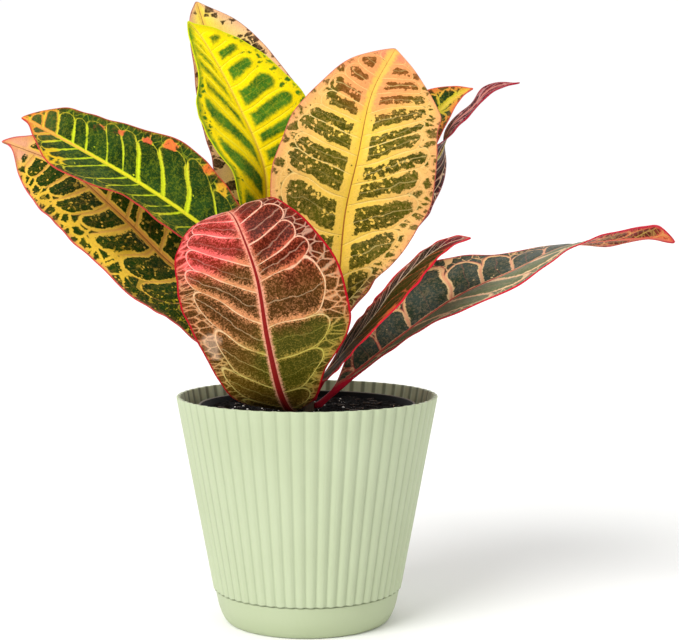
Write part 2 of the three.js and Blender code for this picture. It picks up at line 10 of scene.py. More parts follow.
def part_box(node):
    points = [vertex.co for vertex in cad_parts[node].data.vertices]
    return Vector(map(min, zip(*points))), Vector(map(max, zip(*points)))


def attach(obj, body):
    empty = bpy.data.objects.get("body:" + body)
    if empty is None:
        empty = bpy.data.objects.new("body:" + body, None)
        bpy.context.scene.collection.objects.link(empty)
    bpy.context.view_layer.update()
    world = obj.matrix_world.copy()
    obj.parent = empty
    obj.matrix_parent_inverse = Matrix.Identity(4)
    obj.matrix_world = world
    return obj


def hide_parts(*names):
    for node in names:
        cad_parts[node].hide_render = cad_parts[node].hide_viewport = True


# The looks of a potted croton: a fluted green pot in its saucer, a black grower's pot of soil, and one
# plant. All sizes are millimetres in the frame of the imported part, and become metres in new_piece.

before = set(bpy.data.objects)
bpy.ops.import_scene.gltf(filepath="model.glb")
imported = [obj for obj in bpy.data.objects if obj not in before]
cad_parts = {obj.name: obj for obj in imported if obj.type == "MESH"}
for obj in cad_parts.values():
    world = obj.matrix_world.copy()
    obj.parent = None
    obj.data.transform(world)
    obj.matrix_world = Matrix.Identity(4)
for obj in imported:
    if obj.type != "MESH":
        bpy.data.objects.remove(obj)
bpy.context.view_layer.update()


# Saucer
# One smooth injection-moulded dish of sage green polypropylene, 107 mm across, with a rounded bottom
# edge, a plain upright band and a low ring inside that the pot stands on.

MM = 0.001


def paint(code):
    """The linear colour of a hex code."""
    channels = [int(code[place:place + 2], 16) / 255 for place in (1, 3, 5)]
    return (*[c / 12.92 if c <= 0.04045 else ((c + 0.055) / 1.055) ** 2.4 for c in channels], 1)


class Field:
    """A number, vector or colour that varies over a surface, built up from shader nodes as a formula."""

    def __init__(self, surface, socket):
        self.surface = surface
        self.socket = socket

    def worked(self, operation, *others):
        return self.surface.node("Math", self, *others, operation=operation)

    __add__ = __radd__ = partialmethod(worked, "ADD")
    __sub__ = partialmethod(worked, "SUBTRACT")
    __mul__ = __rmul__ = partialmethod(worked, "MULTIPLY")
    __truediv__ = partialmethod(worked, "DIVIDE")
    __abs__ = partialmethod(worked, "ABSOLUTE")
    whole = partialmethod(worked, "FLOOR")
    fraction = partialmethod(worked, "FRACT")
    at_least = partialmethod(worked, "MAXIMUM")
    at_most = partialmethod(worked, "MINIMUM")
    root = partialmethod(worked, "SQRT")

    def __rsub__(self, other):
        return (self * -1) + other

    def step(self, low, high):
        """Rises smoothly from 0 where the field is low to 1 where it is high, or falls if low is larger."""
        return self.surface.node("MapRange", self, low, high, 0.0, 1.0, interpolation_type="SMOOTHSTEP")


class Surface:
    """A material in the making. unit is the length of a millimetre where its patterns are laid out."""

    def __init__(self, name, unit=MM):
        self.material = bpy.data.materials.new(name)
        self.material.use_nodes = True
        self.tree = self.material.node_tree
        self.shader = self.tree.nodes["Principled BSDF"]
        self.unit = unit

    def node(self, kind, *values, out=0, **settings):
        """A new node whose inputs take the values in order. A field is linked and None is passed over."""
        made = self.tree.nodes.new("ShaderNode" + kind)
        for setting, value in settings.items():
            setattr(made, setting, value)
        for place, value in enumerate(values):
            if isinstance(value, Field):
                self.tree.links.new(value.socket, made.inputs[place])
            elif value is not None:
                made.inputs[place].default_value = value
        return Field(self, made.outputs[out])

    def place(self):
        return self.node("TexCoord", out=3)

    def height(self):
        """How high the point is, in millimetres."""
        return self.node("SeparateXYZ", self.place(), out=2) / MM

    def stretched(self, place, *shares):
        return self.node("VectorMath", place, shares, operation="MULTIPLY")

    def moved(self, place, *distances):
        return self.node("VectorMath", place, distances, operation="ADD")

    def noise(self, place, size, detail=2.0):
        """Cloudy noise from 0 to 1, with patches about as wide as size in millimetres."""
        return self.node("TexNoise", place, None, 1 / (size * self.unit), detail)

    def cells(self, place, size, feature="F1", out=0):
        return self.node("TexVoronoi", place, None, 1 / (size * self.unit), feature=feature, out=out)

    def cell_tones(self, place, size):
        """A random number from 0 to 1 for each cell."""
        return self.node("SeparateXYZ", self.cells(place, size, out=1))

    def random(self, seed):
        return self.node("TexWhiteNoise", None, seed, noise_dimensions="1D")

    def mix(self, first, second, share):
        """The first colour where share is 0 and the second where it is 1."""
        return self.node("Mix", share, None, None, None, None, None, first, second, data_type="RGBA", out=2)

    def coat(self, colour, roughness, relief=None, depth=0.1, specular=0.5):
        """Sets the finish. relief is a field of height from 0 to 1, and depth is its height in mm."""
        finish = {"Base Color": colour, "Roughness": roughness, "Specular IOR Level": specular}
        if relief is not None:
            bump = self.node("Bump", None, depth * MM)
            self.tree.links.new(relief.socket, bump.socket.node.inputs["Height"])
            finish["Normal"] = bump
        for name, value in finish.items():
            if isinstance(value, Field):
                self.tree.links.new(value.socket, self.shader.inputs[name])
            else:
                self.shader.inputs[name].default_value = value
        return self.material


def new_piece(name, points, faces, materials, corners=None, face_materials=None):
    """A smooth mesh from points in millimetres. corners gives each face corner's place on the UV map."""
    mesh = bpy.data.meshes.new(name)
    mesh.from_pydata((np.asarray(points) * MM).tolist(), [], faces)
    if corners is not None:
        mesh.uv_layers.new(name="UVMap").data.foreach_set("uv", np.asarray(corners, np.float32).ravel())
    for material in materials:
        mesh.materials.append(material)
    if face_materials is not None:
        mesh.polygons.foreach_set("material_index", face_materials)
    mesh.polygons.foreach_set("use_smooth", np.ones(len(mesh.polygons), bool))
    mesh.update()
    piece = bpy.data.objects.new(name, mesh)
    bpy.context.scene.collection.objects.link(piece)
    return piece


def closed_body(name, start, rings, end, materials, column_materials=None):
    """A closed piece from rings of points, one in each row, and a point that closes it at either end."""
    rows, columns = rings.shape[:2]
    row, column = np.mgrid[0:rows - 1, 0:columns]
    corner_rows = np.stack([row, row, row + 1, row + 1], -1).reshape(-1, 4)
    corner_columns = np.stack([column, column + 1, column + 1, column], -1).reshape(-1, 4)
    walls = 1 + corner_rows * columns + corner_columns % columns
    corners = np.stack([corner_columns / columns, corner_rows / (rows - 1)], -1).reshape(-1, 2)
    first = 1 + np.arange(columns)
    last = first + (rows - 1) * columns
    start_fan = np.stack([first * 0, np.roll(first, -1), first], -1)
    end_fan = np.stack([last * 0 + rows * columns + 1, last, np.roll(last, -1)], -1)
    points = np.vstack([start, rings.reshape(-1, 3), end])
    faces = walls.tolist() + start_fan.tolist() + end_fan.tolist()
    corners = np.vstack([corners, np.zeros((6 * columns, 2))])
    face_materials = None if column_materials is None else np.tile(column_materials, rows + 1)
    return new_piece(name, points, faces, materials, corners, face_materials)


def level_rings(radii, heights, angles, centres=(0, 0)):
    """Rings of points at their heights, one in each row, round the upright axis or round their centres."""
    centres = np.asarray(centres)
    x = centres[..., 0] + radii * np.cos(angles)
    y = centres[..., 1] + radii * np.sin(angles)
    return np.stack(np.broadcast_arrays(x, y, heights), -1)


def around(count):
    """Angles spread evenly round a full turn."""
    return np.linspace(0, 2 * math.pi, count, endpoint=False)


def rounded(profile, steps=4, longest=6):
    """A profile of (radius, height, corner) points with its corners rounded and long runs divided."""
    path = [np.array(profile[0][:2], float)]
    for before, here, after in zip(profile, profile[1:], profile[2:]):
        corner = np.array(here[:2], float)
        if len(here) == 2:
            path.append(corner)
            continue
        ways = [np.array(other[:2]) - corner for other in (before, after)]
        reach = min(here[2], *(0.45 * np.linalg.norm(way) for way in ways))
        start, end = (corner + way / np.linalg.norm(way) * reach for way in ways)
        for share in np.linspace(0, 1, steps + 1):
            path.append((1 - share) ** 2 * start + 2 * share * (1 - share) * corner + share ** 2 * end)
    path.append(np.array(profile[-1][:2], float))
    divided = [path[0]]
    for point in path[1:]:
        pieces = max(1, math.ceil(np.linalg.norm(point - divided[-1]) / longest))
        divided.extend(np.linspace(divided[-1], point, pieces + 1)[1:])
    return np.array(divided)


def turned(name, profile, angles, material, outline=lambda radii, angles: radii):
    """A body turned about the upright axis. The profile starts and ends on the axis."""
    path = rounded(profile)
    rings = level_rings(outline(path[1:-1, :1], angles), path[1:-1, 1:], angles)
    return closed_body(name, (0, 0, path[0, 1]), rings, (0, 0, path[-1, 1]), [material])


SAGE_SHADE = "#a3ae88"               # the duller tone of the clouding and of the foot


def moulded_plastic(name, colour, painted_shade=None):
    """Matte moulded plastic: faint clouding, a duller foot, a fine grain, and any painted shade added on top.
    """
    plastic = Surface(name)
    place = plastic.place()
    clouds = plastic.noise(place, 60, 3).step(0.3, 0.75)
    grain = plastic.noise(place, 0.35, 2)
    streaks = plastic.noise(plastic.stretched(place, 1, 1, 0.12), 2.5, 2)
    tone = plastic.mix(paint(colour), paint(SAGE_SHADE), clouds * 0.28 + streaks.step(0.55, 0.8) * 0.1)
    foot = plastic.height().step(14, 0)
    tone = plastic.mix(tone, paint(SAGE_SHADE), foot * 0.35)
    if painted_shade:
        tone = painted_shade(plastic, place, grain, tone)
    return plastic.coat(tone, streaks * 0.1 + 0.47, grain, depth=0.05, specular=0.4)


SAUCER_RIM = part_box("saucer")[1].z / MM
SAUCER_RADIUS = 53.3
SAUCER_WALL = 1.6
SAUCER_FLOOR = 2
SAUCER_SIDES = 192
BAND_FOOT = 8.5                      # height at which the rounded bottom edge turns into the upright band
BAND_FOOT_RADIUS = 51.2
RING_RADIUS = 34                     # the low ring inside
RING_TOP = 3.7

saucer_profile = [
    (0, 0), (46.4, 0, 1.5), (48.6, 2.6, 3), (BAND_FOOT_RADIUS, BAND_FOOT, 3),
    (SAUCER_RADIUS, SAUCER_RIM, 0.5), (SAUCER_RADIUS - SAUCER_WALL, SAUCER_RIM, 0.5),
    (BAND_FOOT_RADIUS - SAUCER_WALL, BAND_FOOT, 3), (46.2, SAUCER_FLOOR, 2),
    (RING_RADIUS + 1.2, SAUCER_FLOOR), (RING_RADIUS + 0.8, RING_TOP, 0.3),
    (RING_RADIUS - 0.8, RING_TOP, 0.3), (RING_RADIUS - 1.2, SAUCER_FLOOR), (0, SAUCER_FLOOR),
]
saucer_material = moulded_plastic("sage_saucer", "#aeb896")
saucer = turned("saucer_dish", saucer_profile, around(SAUCER_SIDES), saucer_material)
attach(saucer, "root")
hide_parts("saucer")


# Outer pot
# A sage green planter moulded in one piece, 150 mm across the rim and 126 mm tall. Its thin wall is
# pressed into 60 rounded flutes that show inside as well, and a smooth foot drops into the saucer.

POT_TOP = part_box("pot")[1].z / MM
POT_RIM_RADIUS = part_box("pot")[1].x / MM
POT_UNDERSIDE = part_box("pot")[0].z / MM
POT_FLOOR = POT_UNDERSIDE + 2
POT_WALL = 1.8
SEAM_HEIGHT = SAUCER_RIM + 0.3       # where the flutes end, just above the saucer's rim
SEAM_RADIUS = 54.3
WALL_SLOPE = (POT_RIM_RADIUS - SEAM_RADIUS) / (POT_TOP - SEAM_HEIGHT)
FLUTES = 60
FLUTE_DEPTH = 1.1
FLUTES_START = (50, 53)              # radii between which the smooth foot turns into flutes
PLACES_IN_A_FLUTE = [0, 0.025, 0.06, 0.11, 0.18, 0.27, 0.38, 0.5, 0.62, 0.73, 0.82, 0.89, 0.94, 0.975]
DRAIN_HOLE_RADIUS = 4
DRAIN_HOLE_CIRCLE = 24
DRAIN_HOLES = 5                      # on the circle, beside the one in the middle
# painted shade for the flutes' grooves outside and their hollows inside
PAINTED_GROOVE_SHADE = "#454d33"
SEAM_SHADOW = "#4c553a"


def fluted(radii, angles):
    """Round ribs that fall away to sharp grooves."""
    place = (angles * FLUTES / (2 * math.pi)) % 1
    groove = np.clip((np.abs(1 - 2 * place) - 0.2) / 0.8, 0, 1) ** 1.35
    low, high = FLUTES_START
    return radii - FLUTE_DEPTH * groove * np.clip((radii - low) / (high - low), 0, 1)


def painted_flute_shade(plastic, place, grain, tone):
    """Painted shade in the grooves outside and in the hollows between the ribs inside, and a painted shadow
    along the seam.
    """
    x, y = (plastic.node("SeparateXYZ", place, out=axis) for axis in (0, 1))
    turn = y.worked("ARCTAN2", x) * (FLUTES / (2 * math.pi))
    beside_groove = abs((turn + 0.5).fraction() - 0.5) + grain * 0.02
    height = plastic.height()
    radius = (x * x + y * y).root() / MM
    inside = (height * WALL_SLOPE + (SEAM_RADIUS - SEAM_HEIGHT * WALL_SLOPE - 0.8) - radius).step(0, 0.5)
    # Painted shade: darker in the outer grooves and in the inner hollows, where shade falls
    groove_shade_outside = beside_groove.step(0.14, 0.0) * 0.32 * (1 - inside)
    hollow_shade_inside = beside_groove.step(0.26, 0.42) * inside * 0.65
    tone = plastic.mix(tone, paint(PAINTED_GROOVE_SHADE), (groove_shade_outside + hollow_shade_inside) * height.step(8, 13))
    seam = abs(height - SEAM_HEIGHT).step(0.9, 0.3) * (1 - inside)
    return plastic.mix(tone, paint(SEAM_SHADOW), seam * (beside_groove.step(0.5, 0.1) * 0.35 + 0.35))


def drain(piece, bottom, top):
    """Cuts round drain holes through a floor, one in the middle and the others on a circle."""
    work = bmesh.new()
    for k in range(DRAIN_HOLES + 1):
        distance = DRAIN_HOLE_CIRCLE if k else 0
        angle = 2 * math.pi * k / DRAIN_HOLES
        made = bmesh.ops.create_cone(work, cap_ends=True, segments=32, radius1=DRAIN_HOLE_RADIUS * MM,
                                     radius2=DRAIN_HOLE_RADIUS * MM, depth=(top - bottom + 2) * MM)
        where = Vector((distance * math.cos(angle), distance * math.sin(angle), (top + bottom) / 2)) * MM
        bmesh.ops.translate(work, verts=made["verts"], vec=where)
    mesh = bpy.data.meshes.new("drill")
    work.to_mesh(mesh)
    work.free()
    drill = bpy.data.objects.new("drill", mesh)
    bpy.context.scene.collection.objects.link(drill)
    cut = piece.modifiers.new("drain", "BOOLEAN")
    cut.operation = "DIFFERENCE"
    cut.solver = "EXACT"
    cut.object = drill
    bpy.context.view_layer.objects.active = piece
    bpy.ops.object.modifier_apply(modifier=cut.name)
    bpy.data.objects.remove(drill)


pot_profile = [
    (0, POT_UNDERSIDE), (45, POT_UNDERSIDE, 0.6), (46.2, 4.8), (48.2, 8), (50.4, SEAM_HEIGHT, 0.3),
    (SEAM_RADIUS, SEAM_HEIGHT, 0.45), (POT_RIM_RADIUS, POT_TOP, 0.5),
    (POT_RIM_RADIUS - POT_WALL, POT_TOP, 0.5),
    (SEAM_RADIUS + WALL_SLOPE * 3 - POT_WALL, SEAM_HEIGHT + 3, 1), (48.6, SEAM_HEIGHT),
    (45.6, POT_FLOOR + 1), (44.6, POT_FLOOR, 0.5), (0, POT_FLOOR),
]
flute_angles = (np.add.outer(np.arange(FLUTES), PLACES_IN_A_FLUTE).ravel() + 0.5) * 2 * math.pi / FLUTES
pot_material = moulded_plastic("sage_pot", "#b5bf9e", painted_flute_shade)
pot = turned("fluted_pot", pot_profile, flute_angles, pot_material, fluted)
drain(pot, POT_UNDERSIDE, POT_FLOOR)
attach(pot, "root")
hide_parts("pot")


# Nursery pot
# The thin black thermoformed pot that the plant was grown in, 125 mm across its rolled rim. It stands
# on the outer pot's floor, and only its rim shows.

NURSERY_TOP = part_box("nursery_pot")[1].z / MM
NURSERY_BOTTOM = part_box("nursery_pot")[0].z / MM
NURSERY_RIM_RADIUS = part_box("nursery_pot")[1].x / MM
NURSERY_RIM_BOTTOM = NURSERY_TOP - 3.5
NURSERY_NECK = 60
NURSERY_BASE = 42
NURSERY_WALL = 1.2
NURSERY_FLOOR = NURSERY_BOTTOM + NURSERY_WALL
NURSERY_SIDES = 160


def grower_plastic():
    """Thin black plastic with a satin shine, dusty towards the rim, with a pale painted highlight along the
    top of the rim.
    """
    black = Surface("black_grower_plastic")
    place = black.place()
    dust = black.noise(place, 7, 4).step(0.45, 0.8) * black.height().step(118, 126)
    tone = black.mix(paint("#060607"), paint("#2c2822"), dust * 0.2)
    # A painted highlight: a pale line along the top of the rim, where it catches the light
    painted_rim_highlight = black.height().step(NURSERY_TOP - 0.5, NURSERY_TOP - 0.15)
    tone = black.mix(tone, paint("#a09c90"), painted_rim_highlight * 0.5)
    scuffs = black.noise(black.stretched(place, 1, 1, 6), 3, 3)
    return black.coat(tone, scuffs * 0.25 + 0.45, scuffs, depth=0.08, specular=0.07)


nursery_profile = [
    (0, NURSERY_BOTTOM), (NURSERY_BASE, NURSERY_BOTTOM, 2), (NURSERY_NECK, NURSERY_RIM_BOTTOM, 0.4),
    (NURSERY_RIM_RADIUS, NURSERY_RIM_BOTTOM, 0.4), (NURSERY_RIM_RADIUS, NURSERY_TOP, 0.6),
    (NURSERY_RIM_RADIUS - NURSERY_WALL, NURSERY_TOP, 0.5),
    (NURSERY_NECK - NURSERY_WALL, NURSERY_RIM_BOTTOM - 1, 1),
    (NURSERY_BASE - NURSERY_WALL, NURSERY_FLOOR, 2), (0, NURSERY_FLOOR),
]
nursery_pot = turned("grower_pot", nursery_profile, around(NURSERY_SIDES), grower_plastic())
drain(nursery_pot, NURSERY_BOTTOM, NURSERY_FLOOR)
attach(nursery_pot, "root")
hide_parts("nursery_pot")


# Stem
# The short woody trunk that every leaf grows from. It leans a little, tapers towards the growing tip
# and carries the raised rings that fallen leaves left.

STEM_FOOT = np.array([-2.0, -6.0, 97.0])
STEM_TOP = np.array([1.0, 2.0, 188.0])
STEM_FOOT_RADIUS = 6.2
STEM_TOP_RADIUS = 4.0
STEM_RINGS = 140
STEM_SIDES = 72
TIP_ROUNDING = 3
BARK_ROUGHNESS = 0.28
SCAR_HEIGHTS = [103, 110, 119, 131, 137, 144, 153, 160, 171, 178]
SCAR_RISE = 0.45


def up_the_stem(height):
    return (np.asarray(height, float) - STEM_FOOT[2]) / (STEM_TOP[2] - STEM_FOOT[2])


def stem_axis(height):
    return STEM_FOOT + up_the_stem(height)[..., None] * (STEM_TOP - STEM_FOOT)


def stem_radius(height):
    return STEM_FOOT_RADIUS + up_the_stem(height) * (STEM_TOP_RADIUS - STEM_FOOT_RADIUS)


def bark():
    """Grey-brown bark that turns green towards the growing tip, with fine upright cracks."""
    skin = Surface("croton_bark")
    place = skin.place()
    cracks = skin.noise(skin.stretched(place, 1, 1, 0.2), 1.1, 4)
    patches = skin.noise(place, 6, 3).step(0.35, 0.7)
    tone = skin.mix(paint("#44321f"), paint("#221810"), cracks.step(0.4, 0.65))
    tone = skin.mix(tone, paint("#64523c"), patches * 0.25)
    tone = skin.mix(tone, paint("#6f7a35"), skin.height().step(140, 186) * 0.8)
    return skin.coat(tone, 0.7, cracks, depth=0.5, specular=0.3)


stem_heights = np.linspace(STEM_FOOT[2], STEM_TOP[2], STEM_RINGS)
stem_angles = around(STEM_SIDES)
rough = np.array([
    [noise.noise(Vector((math.cos(angle) * 3, math.sin(angle) * 3, height * 0.12))) for angle in stem_angles]
    for height in stem_heights
])
stem_heights = stem_heights[:, None]
scars = SCAR_RISE * np.exp(-((stem_heights - SCAR_HEIGHTS) / 0.8) ** 2).sum(1, keepdims=True)
into_tip = np.maximum(stem_heights - STEM_TOP[2] + TIP_ROUNDING, 0) / TIP_ROUNDING
dome = np.sqrt(np.maximum(1 - into_tip ** 2, 0.04))
stem_radii = (stem_radius(stem_heights) - 0.25 + scars + BARK_ROUGHNESS * rough) * dome
stem_rings = level_rings(stem_radii, stem_heights, stem_angles, stem_axis(stem_heights))
stem = closed_body("woody_stem", STEM_FOOT, stem_rings, STEM_TOP, [bark()])
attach(stem, "root")
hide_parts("stem")


# Potting soil
# Near-black peat and composted bark that fills the nursery pot to just below its rim. White perlite
# grains and slivers of bark lie in its crumbly top.

SOIL_TOP = 121.6
SOIL_EDGE_RADIUS = 58.6
SOIL_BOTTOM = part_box("soil")[0].z / MM
SOIL_BASE_RADIUS = 40.2
SOIL_RINGS = 110
SOIL_SIDES = 260
STEM_HOLE_BOTTOM = 96.7
STEM_HOLE_GAP = 0.1                  # between the stem's bark and the soil round it
PERLITE_GRAINS = 110
BARK_SLIVERS = 90
SOIL_SEED = 7


def crumbs(x, y):
    """The height of the soil's top: a low mound with lumps and crumbs."""
    small = math.sin(x * 0.31 + 0.4) * math.cos(y * 0.27 - 0.8)
    broad = math.sin(x * 0.13 - y * 0.19 + 1.1)
    mound = math.exp(-((x - STEM_FOOT[0]) ** 2 + (y - STEM_FOOT[1]) ** 2) / 14 ** 2)
    lumps = noise.fractal(Vector((x, y, 3)) / 9, 0.6, 2.1, 4) * 1.1
    nearest = noise.voronoi(Vector((x, y, 0)) / 2.6)[0][0]
    crumb = max(0, 1 - nearest / 0.55) * 0.9
    return SOIL_TOP + 0.4 * (small + 0.6 * broad) + 0.5 * mound + lumps + crumb


def peat():
    """Damp peat: dark crumbs, brown fibres and pale grains of sand."""
    earth = Surface("damp_peat")
    place = earth.place()
    crumb = earth.noise(place, 1.4, 5)
    fibres = earth.noise(earth.stretched(place, 0.25, 1, 1), 0.7, 3).step(0.62, 0.72)
    sand = earth.cells(place, 2.2).step(0.13, 0.06)
    tone = earth.mix(paint("#050303"), paint("#140d09"), crumb.step(0.4, 0.72))
    tone = earth.mix(tone, paint("#2c1e14"), fibres * 0.3)
    tone = earth.mix(tone, paint("#a89a86"), sand * earth.noise(place, 5, 1).step(0.5, 0.65))
    return earth.coat(tone, crumb * 0.3 + 0.65, crumb, depth=1.2, specular=0.05)


soil_angles = around(SOIL_SIDES)
from_stem = np.linspace(1, 0, SOIL_RINGS)[:, None] ** 0.8
top_centres = stem_axis(SOIL_TOP) * (1 - from_stem[..., None])
hole_radius = stem_radius(SOIL_TOP) + STEM_HOLE_GAP
top_radii = hole_radius + (SOIL_EDGE_RADIUS - hole_radius) * from_stem
soil_top = level_rings(top_radii, 0, soil_angles, top_centres)
soil_top[..., 2] = [[crumbs(x, y) for x, y, _ in ring] for ring in soil_top]
base_radii = np.array([[SOIL_BASE_RADIUS - 1], [SOIL_BASE_RADIUS]])
base_heights = np.array([[SOIL_BOTTOM], [SOIL_BOTTOM + 1]])
hole_foot = stem_axis(STEM_HOLE_BOTTOM)
foot_radius = stem_radius(STEM_HOLE_BOTTOM) + STEM_HOLE_GAP
soil_rings = np.vstack([
    level_rings(base_radii, base_heights, soil_angles), soil_top,
    level_rings(foot_radius, STEM_HOLE_BOTTOM, soil_angles, hole_foot)[None],
])
soil = closed_body("potting_soil", (0, 0, SOIL_BOTTOM), soil_rings, hole_foot, [peat()])
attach(soil, "root")
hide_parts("soil")


def scattered(name, count, material, size_of, shape_of):
    """Small stones or slivers, set at random into the top of the soil and joined in one piece."""
    work = bmesh.new()
    bmesh.ops.create_icosphere(work, subdivisions=2, radius=1)
    ball = np.array([v.co[:] for v in work.verts])
    ball_faces = np.array([[v.index for v in f.verts] for f in work.faces])
    work.free()
    points = []
    faces = []
    for k in range(count):
        angle = draw.uniform(0, 2 * math.pi)
        distance = math.sqrt(draw.uniform(0.03, 1)) * (SOIL_EDGE_RADIUS - 2.5)
        x = STEM_FOOT[0] * 0.3 + distance * math.cos(angle)
        y = STEM_FOOT[1] * 0.3 + distance * math.sin(angle)
        size = size_of()
        grain = ball * shape_of() * size
        grain *= 1 + 0.28 * np.array([[noise.noise(Vector(p) * 1.7 + Vector((k * 3.1, 0, 0)))] for p in ball])
        turn = draw.uniform(0, math.pi)
        tilt = draw.uniform(-0.3, 0.3)
        c, s = math.cos(turn), math.sin(turn)
        spin = np.array([[c, -s, 0], [s, c, 0], [0, 0, 1]])
        c, s = math.cos(tilt), math.sin(tilt)
        lean = np.array([[c, 0, s], [0, 1, 0], [-s, 0, c]])
        faces.extend((ball_faces + len(points)).tolist())
        points.extend(grain @ lean @ spin + (x, y, crumbs(x, y) + size * 0.12))
    piece = new_piece(name, points, faces, [material])
    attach(piece, "root")


def grit(name, tone, second_tone, pit_size, low, roughness):
    """Rough grit in two tones that follow its pits."""
    stone = Surface(name)
    pits = stone.noise(stone.place(), pit_size, 3)
    tones = stone.mix(paint(tone), paint(second_tone), pits.step(low, 0.7))
    return stone.coat(tones, roughness, pits, depth=0.3)


draw = np.random.default_rng(SOIL_SEED)
scattered("perlite_grains", PERLITE_GRAINS, grit("perlite", "#e9e6df", "#b9b2a4", 0.5, 0.45, 0.8),
          lambda: draw.uniform(0.3, 1.0) ** 2 * 0.95,
          lambda: (1, draw.uniform(0.6, 1), draw.uniform(0.5, 0.8)))
scattered("bark_slivers", BARK_SLIVERS, grit("bark_slivers", "#1c140e", "#443020", 0.8, 0.4, 0.75),
          lambda: draw.uniform(1.2, 3.2),
          lambda: (1, draw.uniform(0.2, 0.5), 0.22))


# Croton leaves
# Ten leaves show in front and three more finish the plant behind. Each is one leathery blade on a
# round stalk that grows out of the stem, with a raised midrib underneath and veins that end in loops.
# A blade is drawn by its midrib, its half widths and how it folds, and is coloured cell by cell.

WIDTH_STATIONS = np.array([0, 0.12, 0.25, 0.4, 0.55, 0.7, 0.82, 0.92, 0.97, 1])
BLADE_THICKNESS = 0.8
MIDRIB_RIDGE = 1.1
MIDRIB_GROOVE = 0.3
MIDRIB_HALF_WIDTH = 1.9
MIDRIB_TAPER = 0.75
STALK_FOOT_SWELL = 1.2
STALK_TO_BLADE = 0.14                # share of the blade over which the round stalk flattens out
RIGHT_WAVE_SHIFT = 1.9               # how far the right margin's ripple is out of step with the left one's
QUILT_HEIGHT = 0.5                   # how far the blade swells between its veins
ROW_STEP = 1.15
COLUMN_STEP = 1.2


def unit(vectors):
    return vectors / np.linalg.norm(vectors, axis=-1, keepdims=True)


def smooth_step(value, low, high):
    t = np.clip((value - low) / (high - low), 0, 1)
    return t * t * (3 - 2 * t)


def eased(t, start, end, start_slope, end_slope):
    """From start to end with a slope given at each, as t goes from 0 to 1."""
    rise = t * t * (3 - 2 * t)
    return (1 - rise) * start + rise * end + t * (1 - t) * ((1 - t) * start_slope - t * end_slope)


def smooth_curve(values, share):
    """A smooth curve through evenly spread points."""
    points = np.asarray(values, float).reshape(len(values), -1)
    last = len(points) - 1
    beyond = np.vstack([2 * points[0] - points[1], points, 2 * points[-1] - points[-2]])
    position = np.clip(np.asarray(share, float), 0, 1) * last
    index = np.minimum(position.astype(int), last - 1)
    a, b, c, d = (beyond[index + k] for k in range(4))
    return eased((position - index)[..., None], b, c, (c - a) / 2, (d - b) / 2)


def on_spine(spine, share):
    """Points of the spine at shares of its length, and the length."""
    even = np.linspace(0, 1, 801)
    line = smooth_curve(spine, even)
    lengths = np.concatenate([[0], np.cumsum(np.linalg.norm(np.diff(line, axis=0), axis=1))])
    return smooth_curve(spine, np.interp(share * lengths[-1], lengths, even)), lengths[-1]


def half_width(widths, share):
    """The half width of a blade at shares of its length. The base and the tip are points."""
    values = np.array([0, *widths, 0.0])
    steps = np.diff(WIDTH_STATIONS)
    rises = np.diff(values) / steps
    slopes = np.zeros(len(values))
    slopes[1:-1] = (rises[:-1] * steps[1:] + rises[1:] * steps[:-1]) / (steps[:-1] + steps[1:])
    slopes[0] = rises[0] * 0.6
    slopes[-1] = 2 * rises[-1] - slopes[-2]
    i = np.clip(np.searchsorted(WIDTH_STATIONS, share, side="right") - 1, 0, len(steps) - 1)
    t = (share - WIDTH_STATIONS[i]) / steps[i]
    return np.maximum(0, eased(t, values[i], values[i + 1], steps[i] * slopes[i], steps[i] * slopes[i + 1]))


def blade_length(leaf):
    return on_spine(leaf["spine"], np.array([0.5]))[1] * (1 - leaf["stalk"])


def veins(lean, bend, bands, steeper=0):
    """One half's side veins: where each leaves the midrib, and the half width of its light band in mm.

    lean and bend carry them towards the tip, and steeper adds to the lean along the blade.
    """
    return dict(lean=lean, bend=bend, bands=bands, steeper=steeper)


def even_veins(count, seed, band, lean):
    """Side veins at fairly even shares of the blade, with light bands of about one width."""
    spread = np.random.default_rng(seed)
    places = np.linspace(0.07, 0.94, count) + spread.uniform(-0.012, 0.012, count)
    return veins(lean, 0.004, {float(x): band * spread.uniform(0.5, 1.5) for x in places})


def vein_order(side, share, reach, length):
    """Counts the side veins: a whole number on each vein and halves between them.

    Also gives the spacing of the veins and the half width of the nearest one's light band, in mm.
    """
    lean, bend, steeper = side["lean"], side["bend"], side["steeper"]
    origins = np.array(list(side["bands"]))
    steps = np.diff(origins)
    before, after = 4, 6
    origins = np.concatenate([origins[0] - steps[0] * np.arange(before, 0, -1), origins,
                              origins[-1] + steps[-1] * np.arange(1, after + 1)])
    bands = np.pad(list(side["bands"].values()), (before, after), mode="edge")
    origin = (share - (lean * reach + bend * reach ** 2) / length) / (1 + steeper * reach / length)
    order = np.interp(origin, origins, np.arange(len(origins)) - before)
    slant = np.sqrt(1 + (lean + steeper * origin + 2 * bend * reach) ** 2)
    spacing = np.interp(origin, (origins[1:] + origins[:-1]) / 2, np.diff(origins)) * length / slant
    nearest = np.clip(np.round(order).astype(int) + before, 0, len(bands) - 1)
    return order, spacing, bands[nearest]


